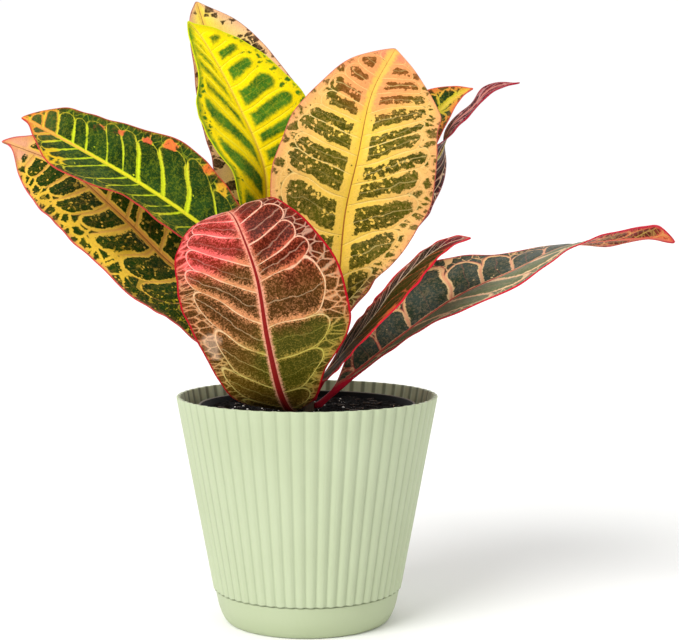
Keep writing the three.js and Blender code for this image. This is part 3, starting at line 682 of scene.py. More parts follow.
def leaf_mesh(name, leaf, seed, materials):
    """One leaf: closed rings of points from the stem to the tip, round on the stalk and flat in the blade."""
    stalk = leaf["stalk"]
    length = blade_length(leaf)
    stalk_share = stalk / (1 - stalk)
    stalk_rows = max(8, int(stalk * length / 1.5))
    shares = np.concatenate([np.linspace(-stalk_share, 0, stalk_rows, endpoint=False),
                             np.linspace(0, 0.997, int(length / ROW_STEP))])
    spread = max(8, int(max(leaf["left"] + leaf["right"]) / COLUMN_STEP))

    def reaches(width):
        """Distances from the midrib to the margin, closer together beside the midrib and at the edge."""
        scale = np.minimum(1, width / 10)
        near, edge = 2.4 * scale, 0.9 * scale
        inner = near[:, None] * np.array([0, 0.2, 0.4, 0.65, 1])
        middle = near[:, None] + (width - near - edge)[:, None] * np.linspace(0, 1, spread + 1)[1:]
        outer = width[:, None] - edge[:, None] * np.array([0.6, 0.25, 0.07, 0])
        return np.concatenate([inner, middle, outer], axis=1)

    def uneven_width(side, row):
        jitter = np.array([noise.noise(Vector((s * 9, seed, row))) for s in shares])
        return half_width(leaf[side], np.maximum(shares, 0)) * (1 + 0.025 * jitter)

    left_width = uneven_width("left", 0)
    right_width = uneven_width("right", 5)
    across = np.concatenate([-reaches(left_width)[:, ::-1], reaches(right_width)[:, 1:]], axis=1)
    share = np.broadcast_to(shares[:, None], across.shape)
    reach = np.abs(across)
    width = np.where(across < 0, left_width[:, None], right_width[:, None])
    q = reach / np.maximum(width, 1e-6)

    whole = stalk + (1 - stalk) * shares
    centre = on_spine(leaf["spine"], whole)[0]
    ahead = on_spine(leaf["spine"], np.minimum(whole + 0.001, 1))[0]
    behind = on_spine(leaf["spine"], np.maximum(whole - 0.001, 0))[0]
    along = unit(ahead - behind)
    face = smooth_curve(leaf["face"], shares)
    face = unit(face - (face * along).sum(-1, keepdims=True) * along)
    aside = np.cross(along, face)

    wander = np.array([[noise.noise(Vector((a / 16, s * length / 16, seed))) for a, s in zip(row, line)]
                       for row, line in zip(across, share)])
    order, spacing, band = np.zeros((3, *across.shape))
    for side, half in (("left_veins", across < 0), ("right_veins", across >= 0)):
        order[half], spacing[half], band[half] = vein_order(leaf[side], share[half], reach[half], length)
    order = order + 0.12 * wander

    beside = np.abs(order % 1 - 0.5) * spacing
    beyond = np.maximum(reach - leaf["loop"] * width + spacing / 2, 0)
    inside = spacing / 2 - np.hypot(beside, beyond)
    fade = smooth_step(reach, 1, 7) * smooth_step(width - reach, 0, 5) * smooth_step(share, 0.02, 0.12)
    quilt = (QUILT_HEIGHT * leaf["quilt"] * (smooth_step(inside, 0, 4.5) - 0.4) + 0.7 * wander) * fade

    fold = smooth_curve(leaf["fold"], shares) + smooth_curve(leaf["cup"], shares) * q / 2
    angle = np.radians(fold)
    height, count, phase = leaf["wave"]
    turn = 2 * math.pi * (count * share + phase) + np.where(across < 0, 0, RIGHT_WAVE_SHIFT)
    ripple = height * q ** 2 * np.sin(math.pi * np.clip(share, 0, 1)) * np.sin(turn)
    frill = 0.35 * q ** 6 * np.sin(turn * 4.3 + 1.7 * np.sin(turn)) * smooth_step(share, 0.05, 0.2)

    blade = smooth_step(shares, 0, STALK_TO_BLADE)[:, None]
    foot_swell = (STALK_FOOT_SWELL - 1) * smooth_step(shares, -0.6 * stalk_share, -stalk_share)
    stalk_radius = leaf["stalk_radius"] * (1 + foot_swell)[:, None]
    theta = np.linspace(math.pi, 0, across.shape[1])
    sideways = across * np.cos(angle) + stalk_radius * np.cos(theta) * (1 - 0.7 * blade)
    surface = (centre[:, None] + aside[:, None] * sideways[..., None]
               + face[:, None] * (reach * np.sin(angle) + ripple + frill)[..., None])

    rounding = np.sqrt(np.clip(1 - (1 - np.clip((width - reach) / 0.9, 0, 1)) ** 2, 0, 1))
    body = stalk_radius * np.sin(theta) * (1 - blade) + BLADE_THICKNESS / 2 * blade * rounding
    taper = 1 - MIDRIB_TAPER * np.clip(shares, 0, 1)[:, None]
    rib = np.cos(math.pi / 2 * np.clip(reach / MIDRIB_HALF_WIDTH, 0, 1)) ** 2 * blade * taper
    ridge_above = leaf["ridge"] > 0
    up_rib, down_rib = (MIDRIB_RIDGE, -MIDRIB_GROOVE) if ridge_above else (-MIDRIB_GROOVE, MIDRIB_RIDGE)
    lift = -quilt if ridge_above else quilt
    upper = surface + face[:, None] * (body + up_rib * rib + lift)[..., None]
    lower = surface - face[:, None] * (body + down_rib * rib - lift)[..., None]

    rings = np.concatenate([upper, lower[:, -2:0:-1]], axis=1)
    foot = rings[0]
    axis = stem_axis(foot[:, 2])
    foot[:, :2] = axis[:, :2] + unit(foot[:, :2] - axis[:, :2]) * (stem_radius(foot[:, 2])[:, None] - 0.4)
    tip = on_spine(leaf["spine"], np.array([1.0]))[0][0]
    far_side = np.arange(rings.shape[1]) >= across.shape[1] - 1
    piece = closed_body(name + "_blade", foot.mean(0), rings, tip, materials, far_side.astype(np.int32))

    def whole_ring(values):
        ringed = np.concatenate([values, values[:, -2:0:-1]], axis=1).ravel()
        return np.concatenate([ringed[:1], ringed, ringed[-1:]]).astype(np.float32)

    measures = {"along": share, "aside": across, "edge": width - reach, "half": width,
                "order": order, "spacing": spacing, "band": band}
    for measure, values in measures.items():
        piece.data.attributes.new(measure, "FLOAT", "POINT").data.foreach_set("value", whole_ring(values))
    laid_flat = np.stack([whole_ring(across), whole_ring(share * length), whole_ring(share * 0)], -1)
    piece.data.attributes.new("flat", "FLOAT_VECTOR", "POINT").data.foreach_set("vector", laid_flat.ravel())
    return piece


LEAF_GRAIN = 0.7                     # sizes of the skin's patterns, in mm
SPECK_SPACING = 3.2
FLECK_SPACING = 3.1
VEINLET_SPACING = 2.7
WEAR_SIZE = 14
RELIEF_DEPTH = 0.35
BROWN_TINGE = (0.2, 0.06, 0.01, 1)
PLAIN_LOOK = dict(
    vein="#f0d080", vein_width=(0.3, 0.3),     # half widths on the left and the right of the midrib, in mm
    lopsided=0,                                # how much more of a band lies on a vein's tip side
    ragged=1, mosaic=0.8, soft=0.3,            # how rough, grainy and soft the dark cells' edges are, in mm
    areole=1.25,                               # the size of the smallest patches of one colour, in mm
    start=3,                                   # how far from the midrib the dark cells begin
    specks=0.3, flecks=0.3,                    # light dots in the cells, and dark ones outside them
    islands=0,                                 # how light the larger gaps in the cells are
    sparkle=0.15,                              # how light the grain inside the cells is
    branches=0.35, net=0.02,                   # strength of the veins between side veins, and of the finest
    loops=0.6, closed=1,                       # how much of a vein and its band closes round a cell's end
    fading=0,                                  # how far the side veins fade in places
    outer=(0.6, 4.5, 0.5, 0.5),                # dark patches beyond the loops: share, size, gap and lines
    outer_stretch=0.6,
    midrib_tip=None, midrib_soft=0.4,          # a midrib is a colour with half widths at the base and the tip
    line=("#9a6030", 0.3, 0.2),                # the dark line along the midrib, in the same way
    blush=("#d8705c", 5, 0.4), blush_right=1,  # the flush inside the margin: colour, width and strength
    patches=(), right_half=None,               # parts with other colours: patches, or the whole right half
    gloss=0.4,
)


def patch(at, radius, light=None, dark=None, vein=None, more=0, share=1):
    """A part of the blade that differs, round a point (share of length, mm aside). more widens the cells."""
    return dict(at=at, radius=radius, light=light, dark=dark, vein=vein, more=more, share=share)


def underside(light, dark, midrib, margin, stalk, **more):
    """The duller look of a leaf's far side, with a plain midrib and margin."""
    return dict(light=light, dark=dark, midrib=(midrib, 1.6, 0.5), margin=(margin, 0.8), stalk=stalk, **more)


def blade_material(name, leaf, look, seed):
    """The skin of one side of a leaf: cells between the side veins, the net at the margin, and the midrib."""
    look = {**PLAIN_LOOK, **look}
    skin = Surface(name, unit=1)
    along, aside, edge, half, order, spacing, band = (
        skin.node("Attribute", attribute_name=field, out=2)
        for field in ("along", "aside", "edge", "half", "order", "spacing", "band"))
    flat = skin.moved(skin.node("Attribute", attribute_name="flat", out=1), seed * 31.7, seed * 17.3, 0)
    reach = abs(aside)
    right = aside.step(-0.01, 0.01)

    fine = skin.noise(flat, 1.6, 3) - 0.5
    middle = skin.noise(flat, 3.6, 2) - 0.5
    coarse = skin.noise(flat, 9, 2) - 0.5
    broad = skin.noise(flat, 26, 1) - 0.5
    mosaic = skin.cell_tones(flat, look["areole"]) - 0.5
    rough = (middle * 2.4 + coarse * 1.6 + fine * 1.2) * look["ragged"]
    speckled = rough + mosaic * look["mosaic"]

    outward = ((reach / half.at_least(1)).step(0.15, 0.95) + broad * 0.8).at_least(0)
    colours = {
        "light": skin.mix(*map(paint, look["light"]), outward),
        "dark": skin.mix(*map(paint, look["dark"]), (coarse + broad).step(-0.22, 0.22)),
        "vein": paint(look["vein"]),
    }
    if look["right_half"]:
        for kind, there in zip(colours, look["right_half"]):
            colours[kind] = skin.mix(colours[kind], paint(there), right)
    more = 0
    for part in look["patches"]:
        share, side = part["at"]
        away_along = (along - share) * blade_length(leaf)
        away_aside = aside - side
        away = (away_along * away_along + away_aside * away_aside).root() + coarse * 14
        inside_part = away.step(part["radius"], part["radius"] * 0.45) * part["share"]
        for kind in colours:
            if part[kind]:
                colours[kind] = skin.mix(colours[kind], paint(part[kind]), inside_part)
        if part["more"]:
            more = inside_part * part["more"] + more
    light, shade, vein = colours.values()

    cell = order.whole() + right * 41 + seed
    across_cell = order.fraction() - 0.5
    beside = across_cell * spacing
    loop = half * leaf["loop"] * (skin.random(cell) * 0.2 + 0.9)
    beyond = (reach - loop + spacing / 2).at_least(0)
    inside = spacing / 2 - (beside * beside + beyond * beyond).root() + coarse * 0.9
    outside = inside.step(0.2, -0.5)
    closing = beyond.step(0.5, 3)
    if look["closed"] < 1:
        band = band * (1 - closing * (1 - look["closed"]))
    depth = inside - band + across_cell * band * (look["lopsided"] * 2) + speckled + more
    dark = depth.at_most(reach - look["start"] + speckled * 0.6).step(-look["soft"], look["soft"])

    outer_share, outer_size, outer_gap, outer_lines = look["outer"]
    stretched = skin.stretched(flat, look["outer_stretch"], 1, 1)
    patch_edge = skin.cells(stretched, outer_size, "DISTANCE_TO_EDGE") * outer_size
    chosen = skin.cell_tones(stretched, outer_size).step(outer_share + 0.005, outer_share - 0.005)
    outer_soft = min(look["soft"], 0.45)
    outer_dark = (patch_edge - outer_gap + rough * 0.45 + mosaic * 0.5 + more).step(-outer_soft, outer_soft)
    dark = dark.at_least(outer_dark * chosen * outside)

    if look["islands"]:
        gap = (middle + fine * 0.35 + broad * 0.4).step(-0.12, -0.17)
        dark = dark * (1 - gap * look["islands"])
    if look["specks"]:
        dots = skin.cells(flat, SPECK_SPACING) + fine * 0.8 - coarse * 0.45
        chance = skin.noise(flat, 7, 1).step(0.72 - look["specks"] * 0.4, 0.78 - look["specks"] * 0.4)
        dark = dark * (1 - dots.step(0.26, 0.14) * chance)
    if look["flecks"]:
        dots = skin.cells(flat, FLECK_SPACING) + fine * 0.3
        chance = skin.noise(flat, 11, 1).step(0.75 - look["flecks"] * 0.4, 0.8 - look["flecks"] * 0.4)
        dark = dark.at_least(dots.step(0.22, 0.1) * chance * edge.step(1, 2))

    grain = skin.noise(flat, LEAF_GRAIN, 2)
    browned = skin.mix(light, BROWN_TINGE, 0.16)
    light = skin.mix(light, browned, (grain + mosaic * 0.25).step(0.42, 0.68))
    sparkle = (grain + fine * 0.5 - mosaic * 0.35).step(0.42, 0.74) * look["sparkle"]
    tone = skin.mix(light, skin.mix(shade, light, sparkle), dark)

    vein_left, vein_right = look["vein_width"]
    thread = right * (vein_right - vein_left) + vein_left
    line = (abs(inside) + fine * 0.35 - thread).step(0.3, -0.15)
    line = line * (1 - closing * (1 - look["loops"])) * edge.step(0.3, 2)
    line = line * (1 - (coarse + broad).step(-0.15, 0.2) * look["fading"])
    branch = (abs(beside + coarse * 5) + fine * 0.4).step(0.42, 0.1) * inside.step(0.3, 1.2)
    branch = branch * look["branches"] * (skin.random(cell * 1.3 + 5) + 0.3)
    veinlets = skin.cells(skin.moved(stretched, 7.1, 3.3, 0), VEINLET_SPACING, "DISTANCE_TO_EDGE")
    veinlet = (veinlets * VEINLET_SPACING + fine * 0.3).step(0.26, 0.05) * look["net"]
    outer_line = (patch_edge + fine * 0.3).step(0.3, 0.05) * outer_lines * outside
    lines = line.at_least(branch).at_least(veinlet).at_least(outer_line)
    tone = skin.mix(tone, vein, lines * (dark * 0.55 + 0.4))

    def past_rib(wide, thin):
        """How far outside the midrib, or the line along it, a point lies."""
        return reach - (along.at_least(0).at_most(1) * (thin - wide) + wide)

    rib, *rib_widths = look["midrib"]
    rib_tone = skin.mix(paint(rib), paint(look["midrib_tip"] or rib), along.step(0.6, 0.95))
    rib_edge = past_rib(*rib_widths) + fine * 0.6 + mosaic * look["midrib_soft"]
    tone = skin.mix(tone, rib_tone, rib_edge.step(look["midrib_soft"], -look["midrib_soft"]))
    if look["line"]:
        line_colour, *line_widths = look["line"]
        line_edge = past_rib(*line_widths) + fine * 0.2
        tone = skin.mix(tone, paint(line_colour), line_edge.step(0.25, -0.2) * 0.97)

    flush, flush_width, flush_share = look["blush"]
    blush = (edge + coarse * 6 + mosaic).step(flush_width, 0) * flush_share
    blush = blush * (1 - dark * 0.7) * (1 - right * (1 - look["blush_right"]))
    tone = skin.mix(tone, paint(flush), blush)
    rim, rim_width = look["margin"]
    tone = skin.mix(tone, paint(rim), (edge - rim_width + fine * 0.8).step(0.35, -0.35))
    tone = skin.mix(tone, paint(look["stalk"]), along.step(0.05, -0.01))

    roughness = skin.noise(flat, WEAR_SIZE, 3) * 0.16 + (grain * 0.1 + (look["gloss"] - 0.12))
    relief = lines * (-0.6 if seed % 2 else 0.6) + grain * 0.15 + coarse * 0.5
    return skin.coat(tone, roughness, relief, depth=RELIEF_DEPTH, specular=0.06)


PLAIN_LEAF = dict(
    cup=[0, 0, 0],                   # how much further each half bends towards its margin, in degrees
    ridge=-1,                        # the side of the midrib's ridge: 1 is the side that face points to
    quilt=1,                         # how strongly the blade swells between its veins
)


def grow_leaf(name, slot, seed, **leaf):
    """Makes a leaf with its two skins: look on the side that face points to, and back on the other.

    The spine is the midrib from the stem to the tip, and stalk is the share of it that comes before the
    blade. left and right are half widths at the stations. face, fold and cup are spread evenly along the
    blade, and fold raises each half towards the face side in degrees. wave is the height of the margin's
    ripple, the number of ripples and their phase. loop is the share of the width where side veins end.
    """
    leaf = {**PLAIN_LEAF, **leaf}
    skins = [blade_material(name + "_face", leaf, leaf["look"], 2 * seed + 1),
             blade_material(name + "_back", leaf, leaf["back"], 2 * seed)]
    piece = leaf_mesh(name, leaf, seed, skins)
    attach(piece, "root")
    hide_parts(name)


# The red leaf in front, whose underside faces forward and whose tip folds back
grow_leaf(
    "leaf_red_front", "leaf_red", 1, stalk=0.08, stalk_radius=1.9, ridge=1, loop=0.8,
    spine=[(-3, -10, 126), (-9, -30, 126), (-14, -47, 138), (-20, -60, 168), (-25, -64, 200),
           (-34, -58, 225), (-40, -47, 234), (-46, -32, 234)],
    left=[23, 31, 37, 43, 42, 37, 24, 10.5], right=[17, 27, 44, 45, 37, 27, 15, 6],
    face=[(0, -0.1, -1), (-0.1, -0.95, -0.2), (-0.1, -1, 0.05), (-0.15, -0.95, 0.2), (-0.1, -0.3, 1)],
    fold=[-6, 0, 5, 5], cup=[0, -5, -10, -10], wave=(1.5, 2, 0.1),
    left_veins=veins(0.45, 0.012, {
        0.085: 0.2, 0.198: 0.2, 0.337: 0.9, 0.456: 1.7, 0.562: 1.7, 0.666: 1.8, 0.762: 1.4, 0.84: 1.1,
        0.9: 0.9, 0.955: 0.6}),
    right_veins=veins(0.19, 0.002, {
        0.075: 0.1, 0.178: 0.1, 0.314: 0.5, 0.438: 1.3, 0.602: 1.5, 0.66: 0.8, 0.733: 0.3, 0.817: 0.2,
        0.89: 0.2, 0.95: 0.1}),
    look=dict(
        light=("#d08a5c", "#c07c4c"), dark=("#3a2202", "#482c06"), vein="#ffd8a8", vein_width=(0.22, 0.24),
        lopsided=0.85, ragged=0.5, mosaic=3.2, areole=0.7, soft=2.3, start=2.2, closed=0.3, specks=0.1,
        flecks=0, sparkle=0.3, branches=0.22, net=0, loops=0.9, outer=(1, 3.8, 0.22, 0.4),
        outer_stretch=0.5, midrib=("#e09a80", 2.8, 0.7), midrib_soft=1.2, line=("#7c0006", 1.9, 0.05),
        margin=("#a80c1c", 1.1), blush=("#a81c20", 5, 0.4), stalk="#8c1420", gloss=0.36,
        patches=[
            patch((0.1, 0), 64, "#bc9850", "#523c04", "#dccc70"),
            patch((0.3, 10), 28, "#a08838", "#3c3c06", "#d8c864"),
            patch((0.36, 34), 22, "#988034", "#3a3c06", "#d0c058"),
            patch((0.8, 24), 42, "#c0543c", "#461000", "#ffc8a8", more=0.6),
            patch((0.84, -22), 34, "#f0605c", "#741c08", "#ffc8b8", more=-0.3),
            # a painted highlight: a pale glossy gleam on the lower left of the blade
            patch((0.4, -30), 8, "#e0b8a0", "#b89c80", share=0.5),
            # a painted highlight: pink light where the tip folds back
            patch((0.975, -6), 7, "#f0a0a4", "#e08084", share=0.8)]),
    back=underside(
        ("#b8503c", "#9c2c34"), ("#3c2a18", "#2c3a18"), "#c85a50", "#a01c28", "#a02028", vein="#e0a080"),
)

# The tall peach leaf in the centre
grow_leaf(
    "leaf_peach_centre", "leaf_peach", 2, stalk=0.11, stalk_radius=1.9, loop=0.84,
    spine=[(5, 2, 150), (12, 6, 160), (17, 8, 178), (19, 9, 205), (22, 8, 235), (29, 5, 266),
           (37, 10, 302), (51, 23, 329)],
    left=[12, 28, 43, 45, 40, 26, 15, 6.5], right=[14, 32, 44, 46, 42, 40, 25, 10.5],
    face=[(-0.1, -0.95, 0.3), (0, -1, 0.2), (0, -1, 0.3)],
    fold=[25, 8, 8], cup=[0, -8, -10], wave=(1.5, 2.5, 0.2),
    left_veins=veins(0.17, 0.002, {
        0.1: 1.8, 0.21: 2, 0.32: 2.2, 0.443: 2.3, 0.522: 0.4, 0.59: 2.4, 0.65: 0.6, 0.7: 2.3, 0.755: 0.7,
        0.81: 2.3, 0.87: 1.6, 0.94: 2}),
    right_veins=veins(0.48, 0.001, {
        0.07: 1.6, 0.177: 1.8, 0.281: 2, 0.416: 2.4, 0.49: 1.3, 0.552: 2, 0.612: 0.5, 0.656: 2, 0.735: 2.1,
        0.8: 2.2, 0.865: 2.2, 0.93: 2}),
    look=dict(
        light=("#eec450", "#e2ae64"), dark=("#3a3a02", "#4e4c06"), vein="#f6d888", vein_width=(0.25, 0.25),
        ragged=1.6, mosaic=0.5, start=5.4, islands=0.95, specks=0.8, flecks=0.5, sparkle=0.22,
        branches=0.3, loops=0.7, outer=(0.85, 5.2, 0.8, 0.45), midrib=("#e6be40", 0.9, 2.8),
        midrib_tip="#e8b454", midrib_soft=1.3, line=("#9a5a28", 0.6, 0.05), margin=("#b8584c", 0.5),
        blush=("#dc8c64", 6, 0.5), stalk="#b8604a",
        patches=[
            patch((0.03, 12), 36, "#8c7828", "#342c08", more=1.5),
            patch((0.88, 0), 34, "#e6985c", "#744414", more=-0.4),
            patch((0.99, 0), 12, "#d88460", "#4c3010", more=-4)]),
    back=underside(
        ("#e0a070", "#d88a70"), ("#5c3c22", "#6c4a2c"), "#d8a060", "#b85a54", "#b8604a"),
)

# The yellow leaf at the upper left, green along its left margin
grow_leaf(
    "leaf_yellow_left", "leaf_yellow", 3, stalk=0.12, stalk_radius=1.7, loop=0.85,
    spine=[(-1, 6, 168), (-8, 20, 188), (-23, 30, 223), (-26.5, 36, 262), (-43.5, 44, 301.5),
           (-61, 47, 334), (-71.5, 47, 347.5)],
    left=[12, 23, 30.5, 37.5, 33, 16.5, 9.5, 5], right=[12, 26, 36, 39, 35, 25, 11.5, 3],
    face=[(0.45, -0.86, 0.22), (0.55, -0.79, 0.11), (0.42, -0.91, 0.18)],
    fold=[25, 18, 12], cup=[0, 5, 0], wave=(1.5, 2.5, 0.4),
    left_veins=veins(-1.5, 0, {
        0.06: 2, 0.13: 2, 0.22: 2.4, 0.31: 2.4, 0.4: 2.4, 0.51: 2.3, 0.608: 1.7, 0.7: 1.3, 0.78: 1.1,
        0.85: 0.9, 0.91: 0.7, 0.96: 0.6}, steeper=7),
    right_veins=veins(0.2, 0, {
        0.1: 2.5, 0.19: 2.5, 0.28: 2.5, 0.37: 2.5, 0.44: 2.6, 0.503: 2.4, 0.566: 2.6, 0.643: 2.6, 0.735: 3,
        0.808: 3, 0.87: 3, 0.94: 3}),
    look=dict(
        light=("#fce000", "#f4d800"), dark=("#2a5c12", "#4a7c1a"), vein="#f2e840", ragged=0.35, mosaic=0.5,
        soft=1.4, start=3.6, specks=0, flecks=0, branches=0.1, net=0, loops=0.1,
        outer=(0.8, 3.4, 0.6, 0.1), midrib=("#f0d430", 1.7, 0.7), midrib_soft=0.3,
        line=("#e0b040", 0.35, 0.1), margin=("#c8cc10", 0.8), blush=("#3c7c18", 6, 0.95),
        blush_right=0.3, stalk="#c8c040",
        patches=[
            patch((0.1, 0), 30, "#dcd010", "#1c4a14", more=0.9),
            patch((0.98, 3), 15, more=-3)]),
    back=underside(
        ("#e8dc50", "#d8cc50"), ("#5c8a48", "#6c9450"), "#e0c070", "#d0c840", "#c8c040", soft=1.2),
)

# The cream leaf behind the yellow one
grow_leaf(
    "leaf_cream_back", "leaf_cream", 4, stalk=0.12, stalk_radius=1.7, loop=0.6,
    spine=[(0, 6, 156), (-8, 32, 186), (-22, 46, 223.5), (-30, 54, 270), (-45, 60, 302),
           (-59.5, 64, 335), (-68, 64, 361)],
    left=[14, 25.5, 34.5, 34, 27, 17.5, 10.5, 6], right=[12, 26.5, 35.5, 38.5, 36.5, 30.5, 19.5, 7.5],
    face=[(0.39, -0.91, 0.3), (0.39, -0.89, 0.32), (0.43, -0.88, 0.21)],
    fold=[20, 15, 10], wave=(1.5, 2, 0.7),
    left_veins=even_veins(11, 41, 2.4, 0.5), right_veins=even_veins(12, 42, 2.4, 0.4),
    look=dict(
        light=("#fce050", "#f4c890"), dark=("#28200e", "#44341a"), vein="#f0d490", ragged=0.9, mosaic=1,
        start=30, flecks=0.6, branches=0.2, loops=0.2, outer=(0.62, 5, 0.3, 0.1),
        midrib=("#eecb50", 3, 1.5), line=("#b88048", 0.3, 0.2), margin=("#9c5048", 0.5),
        blush=("#e0987c", 6, 0.4), stalk="#c09050"),
    back=underside(
        ("#dcae74", "#d89a78"), ("#5c4630", "#6c5038"), "#d8b070", "#a86058", "#c09050",
        start=30, outer=(0.3, 4.5, 0.5, 0.5)),
)

# The dark green leaf that reaches out to the left, with yellow veins
grow_leaf(
    "leaf_green_left", "leaf_green", 5, stalk=0.13, stalk_radius=1.7, loop=0.84,
    spine=[(-6, -1, 162), (-18, -5, 186), (-39, -9, 209.5), (-63.5, -11, 230), (-92, -12, 249.5),
           (-126.5, -10, 269.5), (-161, -4, 288)],
    left=[9.5, 18, 24, 22.5, 31.5, 27.5, 10.5, 2], right=[11.5, 23.5, 34, 39, 33, 25.5, 18.5, 9],
    face=[(0.38, -0.71, 0.56), (0.39, -0.61, 0.67), (0.33, -0.64, 0.67)],
    fold=[25, 15, 12], wave=(1.5, 2, 0),
    left_veins=veins(0.55, 0.003, {
        0.09: 0.4, 0.17: 0.4, 0.25: 0.4, 0.33: 0.3, 0.402: 0.8, 0.441: 0.3, 0.501: 0.3, 0.559: 0.3,
        0.601: 0.5, 0.683: 0.4, 0.727: 0.6, 0.786: 0.7, 0.84: 0.5, 0.89: 0.4}),
    right_veins=veins(0.45, 0.006, {
        0.1: 0.6, 0.2: 0.6, 0.29: 0.6, 0.388: 1.2, 0.485: 1.2, 0.572: 1.1, 0.629: 0.3, 0.691: 0.3,
        0.766: 0.3, 0.81: 0.5, 0.87: 0.3, 0.92: 0.3}),
    look=dict(
        light=("#ccdc1c", "#ccb830"), dark=("#16300a", "#264414"), vein="#ccdc2c", vein_width=(0.25, 0.4),
        ragged=0.3, mosaic=0.3, soft=0.5, start=1.5, specks=0.15, flecks=0, sparkle=0.14, branches=0.05,
        net=0, loops=0.05, fading=0.75, closed=0.05, outer=(1, 4.6, -0.3, 0.2),
        midrib=("#dcd228", 1.5, 0.9), midrib_tip="#e8a048", midrib_soft=0.3, line=None,
        margin=("#c03c34", 0.8), blush=("#d0582c", 3.5, 0.55), stalk="#a8a038",
        patches=[
            patch((0.83, -22), 12, "#e0b41c", more=-1.1),
            patch((0.95, 0), 20, "#e49c3c", "#3c5020", more=-0.9),
            patch((0.78, 20), 4, "#d8603c", more=-1.2), patch((0.72, 24), 4, "#d8603c", more=-1),
            patch((0.63, 28), 4, "#d8603c", more=-1.2), patch((0.557, 33), 5, "#e07038", more=-1.5),
            patch((0.42, 31), 6, "#e07030", more=-1), patch((0.34, 27), 5, "#d8a428", more=-1)]),
    back=underside(
        ("#b8b048", "#b87848"), ("#4c5a34", "#5c5038"), "#c8b858", "#b84840", "#a8a038", vein="#c8b860"),
)

# The orange leaf below it, with dark green cells
grow_leaf(
    "leaf_orange_left", "leaf_orange", 6, stalk=0.1, stalk_radius=1.8, loop=0.72,
    spine=[(-7, 1, 134), (-24, 5, 146), (-54.5, 11, 186), (-81, 16, 206), (-108.5, 19, 232.5),
           (-141, 21, 260), (-177, 18, 275.5)],
    left=[32.5, 42, 46, 42, 40, 35, 18.5, 1.5], right=[12, 22, 30, 34, 31.5, 23.5, 10.5, 5],
    face=[(0.32, -0.78, 0.49), (0.44, -0.71, 0.51), (0.32, -0.85, 0.42)],
    fold=[25, 12, 12], wave=(1.5, 2.5, 0.3),
    left_veins=veins(0.05, 0.011, {
        0.06: 1.2, 0.14: 1.2, 0.24: 1.2, 0.347: 1.7, 0.462: 2.3, 0.559: 2.4, 0.639: 2.1, 0.7205: 1.7,
        0.785: 1.2, 0.85: 1.1, 0.9: 1.2, 0.95: 1.6}),
    right_veins=veins(0.5, 0.002, {
        0.1: 1.2, 0.21: 1.2, 0.33: 1.2, 0.4395: 1.5, 0.543: 1.7, 0.575: 1.3, 0.65: 1.4, 0.72: 1.2,
        0.79: 1, 0.86: 1, 0.93: 1}),
    look=dict(
        light=("#fccc50", "#f8cc40"), dark=("#12300a", "#1e3e0a"), vein="#e09058", vein_width=(0.7, 0.7),
        ragged=0.85, mosaic=0.5, islands=0.4, soft=0.25, start=2.8, specks=0.65, flecks=0.2, sparkle=0.1,
        branches=0.1, net=0, loops=0.15, outer=(0.97, 7.5, 0.85, 0.1), outer_stretch=0.8,
        midrib=("#eca84c", 2.4, 1.4), midrib_tip="#ecb074", line=("#a05c34", 0.35, 0.2),
        margin=("#cc5450", 0.9), blush=("#de8860", 5, 0.55), stalk="#c07040",
        patches=[
            patch((0.2, -20), 40, "#d8c430", more=0.8),
            patch((0.53, -20), 12, "#e0b434", more=-1.6),
            patch((0.36, -38), 20, more=1.2),
            patch((0.99, -2), 22, "#f0ac84", more=-3)]),
    back=underside(
        ("#d89850", "#d0884c"), ("#4c4a24", "#5c5430"), "#d09850", "#c05048", "#c07040"),
)

# The long dark leaf at the right, whose end turns over and shows its red underside
grow_leaf(
    "leaf_long_right", "leaf_dark_green", 7, stalk=0.05, stalk_radius=1.8, loop=0.86,
    spine=[(6, -4, 124), (22, -5, 138), (47, -6, 159), (83, -8, 185.5), (117.5, -10, 202),
           (147.5, -13, 216), (189, -17, 220.5), (205, -24, 218.5)],
    left=[16, 23.5, 39.5, 32, 26, 16.5, 1, 2], right=[5.5, 13.5, 25, 24.5, 25, 17.5, 11.5, 9.5],
    face=[(-0.55, -0.54, 0.63), (-0.53, -0.48, 0.75), (-0.36, -0.3, 0.79), (-0.37, 0.06, 0.89),
          (0.52, 0.6, 0.66)],
    fold=[20, 20, 3, 0, 0], wave=(1, 2, 0.2),
    left_veins=veins(0.05, 0.003, {
        0.08: 0.2, 0.17: 0.3, 0.268: 1.3, 0.4: 1.6, 0.488: 1.4, 0.567: 1.1, 0.66: 0.8, 0.74: 0.8,
        0.82: 1, 0.9: 1}),
    right_veins=veins(1.4, 0, {
        0.05: 0.8, 0.15: 0.8, 0.27: 1, 0.38: 1, 0.5: 1.2, 0.62: 1.2, 0.73: 1, 0.84: 1, 0.94: 1}),
    look=dict(
        light=("#e0bc88", "#dcb078"), dark=("#243222", "#36423a"), vein="#cc6054", vein_width=(0.8, 0.5),
        ragged=0.6, mosaic=0.5, start=1, specks=0.2, flecks=0, sparkle=0.14, branches=0.15, net=0,
        loops=0.5, outer=(0.95, 5.5, 0.1, 0.15), right_half=("#dcbc90", "#626a4c", "#e09480"),
        midrib=("#b04a42", 1, 0.4), midrib_soft=0.25, line=None, margin=("#c01830", 1.2),
        blush=("#c85c4c", 3, 0.4), stalk="#8c1424"),
    back=dict(
        light=("#d04840", "#c03440"), dark=("#54200c", "#6c2014"), vein="#f4c868", vein_width=(0.4, 0.4),
        ragged=0.5, mosaic=1.2, start=1.5, specks=0.2, flecks=0, branches=0.5, net=0.35, loops=1,
        outer=(0.7, 4, 0.5, 0.9), midrib=("#dc7058", 2, 1), line=None, margin=("#c02c3c", 1.2),
        blush=("#c02c34", 6, 0.55), stalk="#a81c2c",
        patches=[patch((1, 0), 15, "#e8784c", "#b04a34", more=-1.5)]),
)

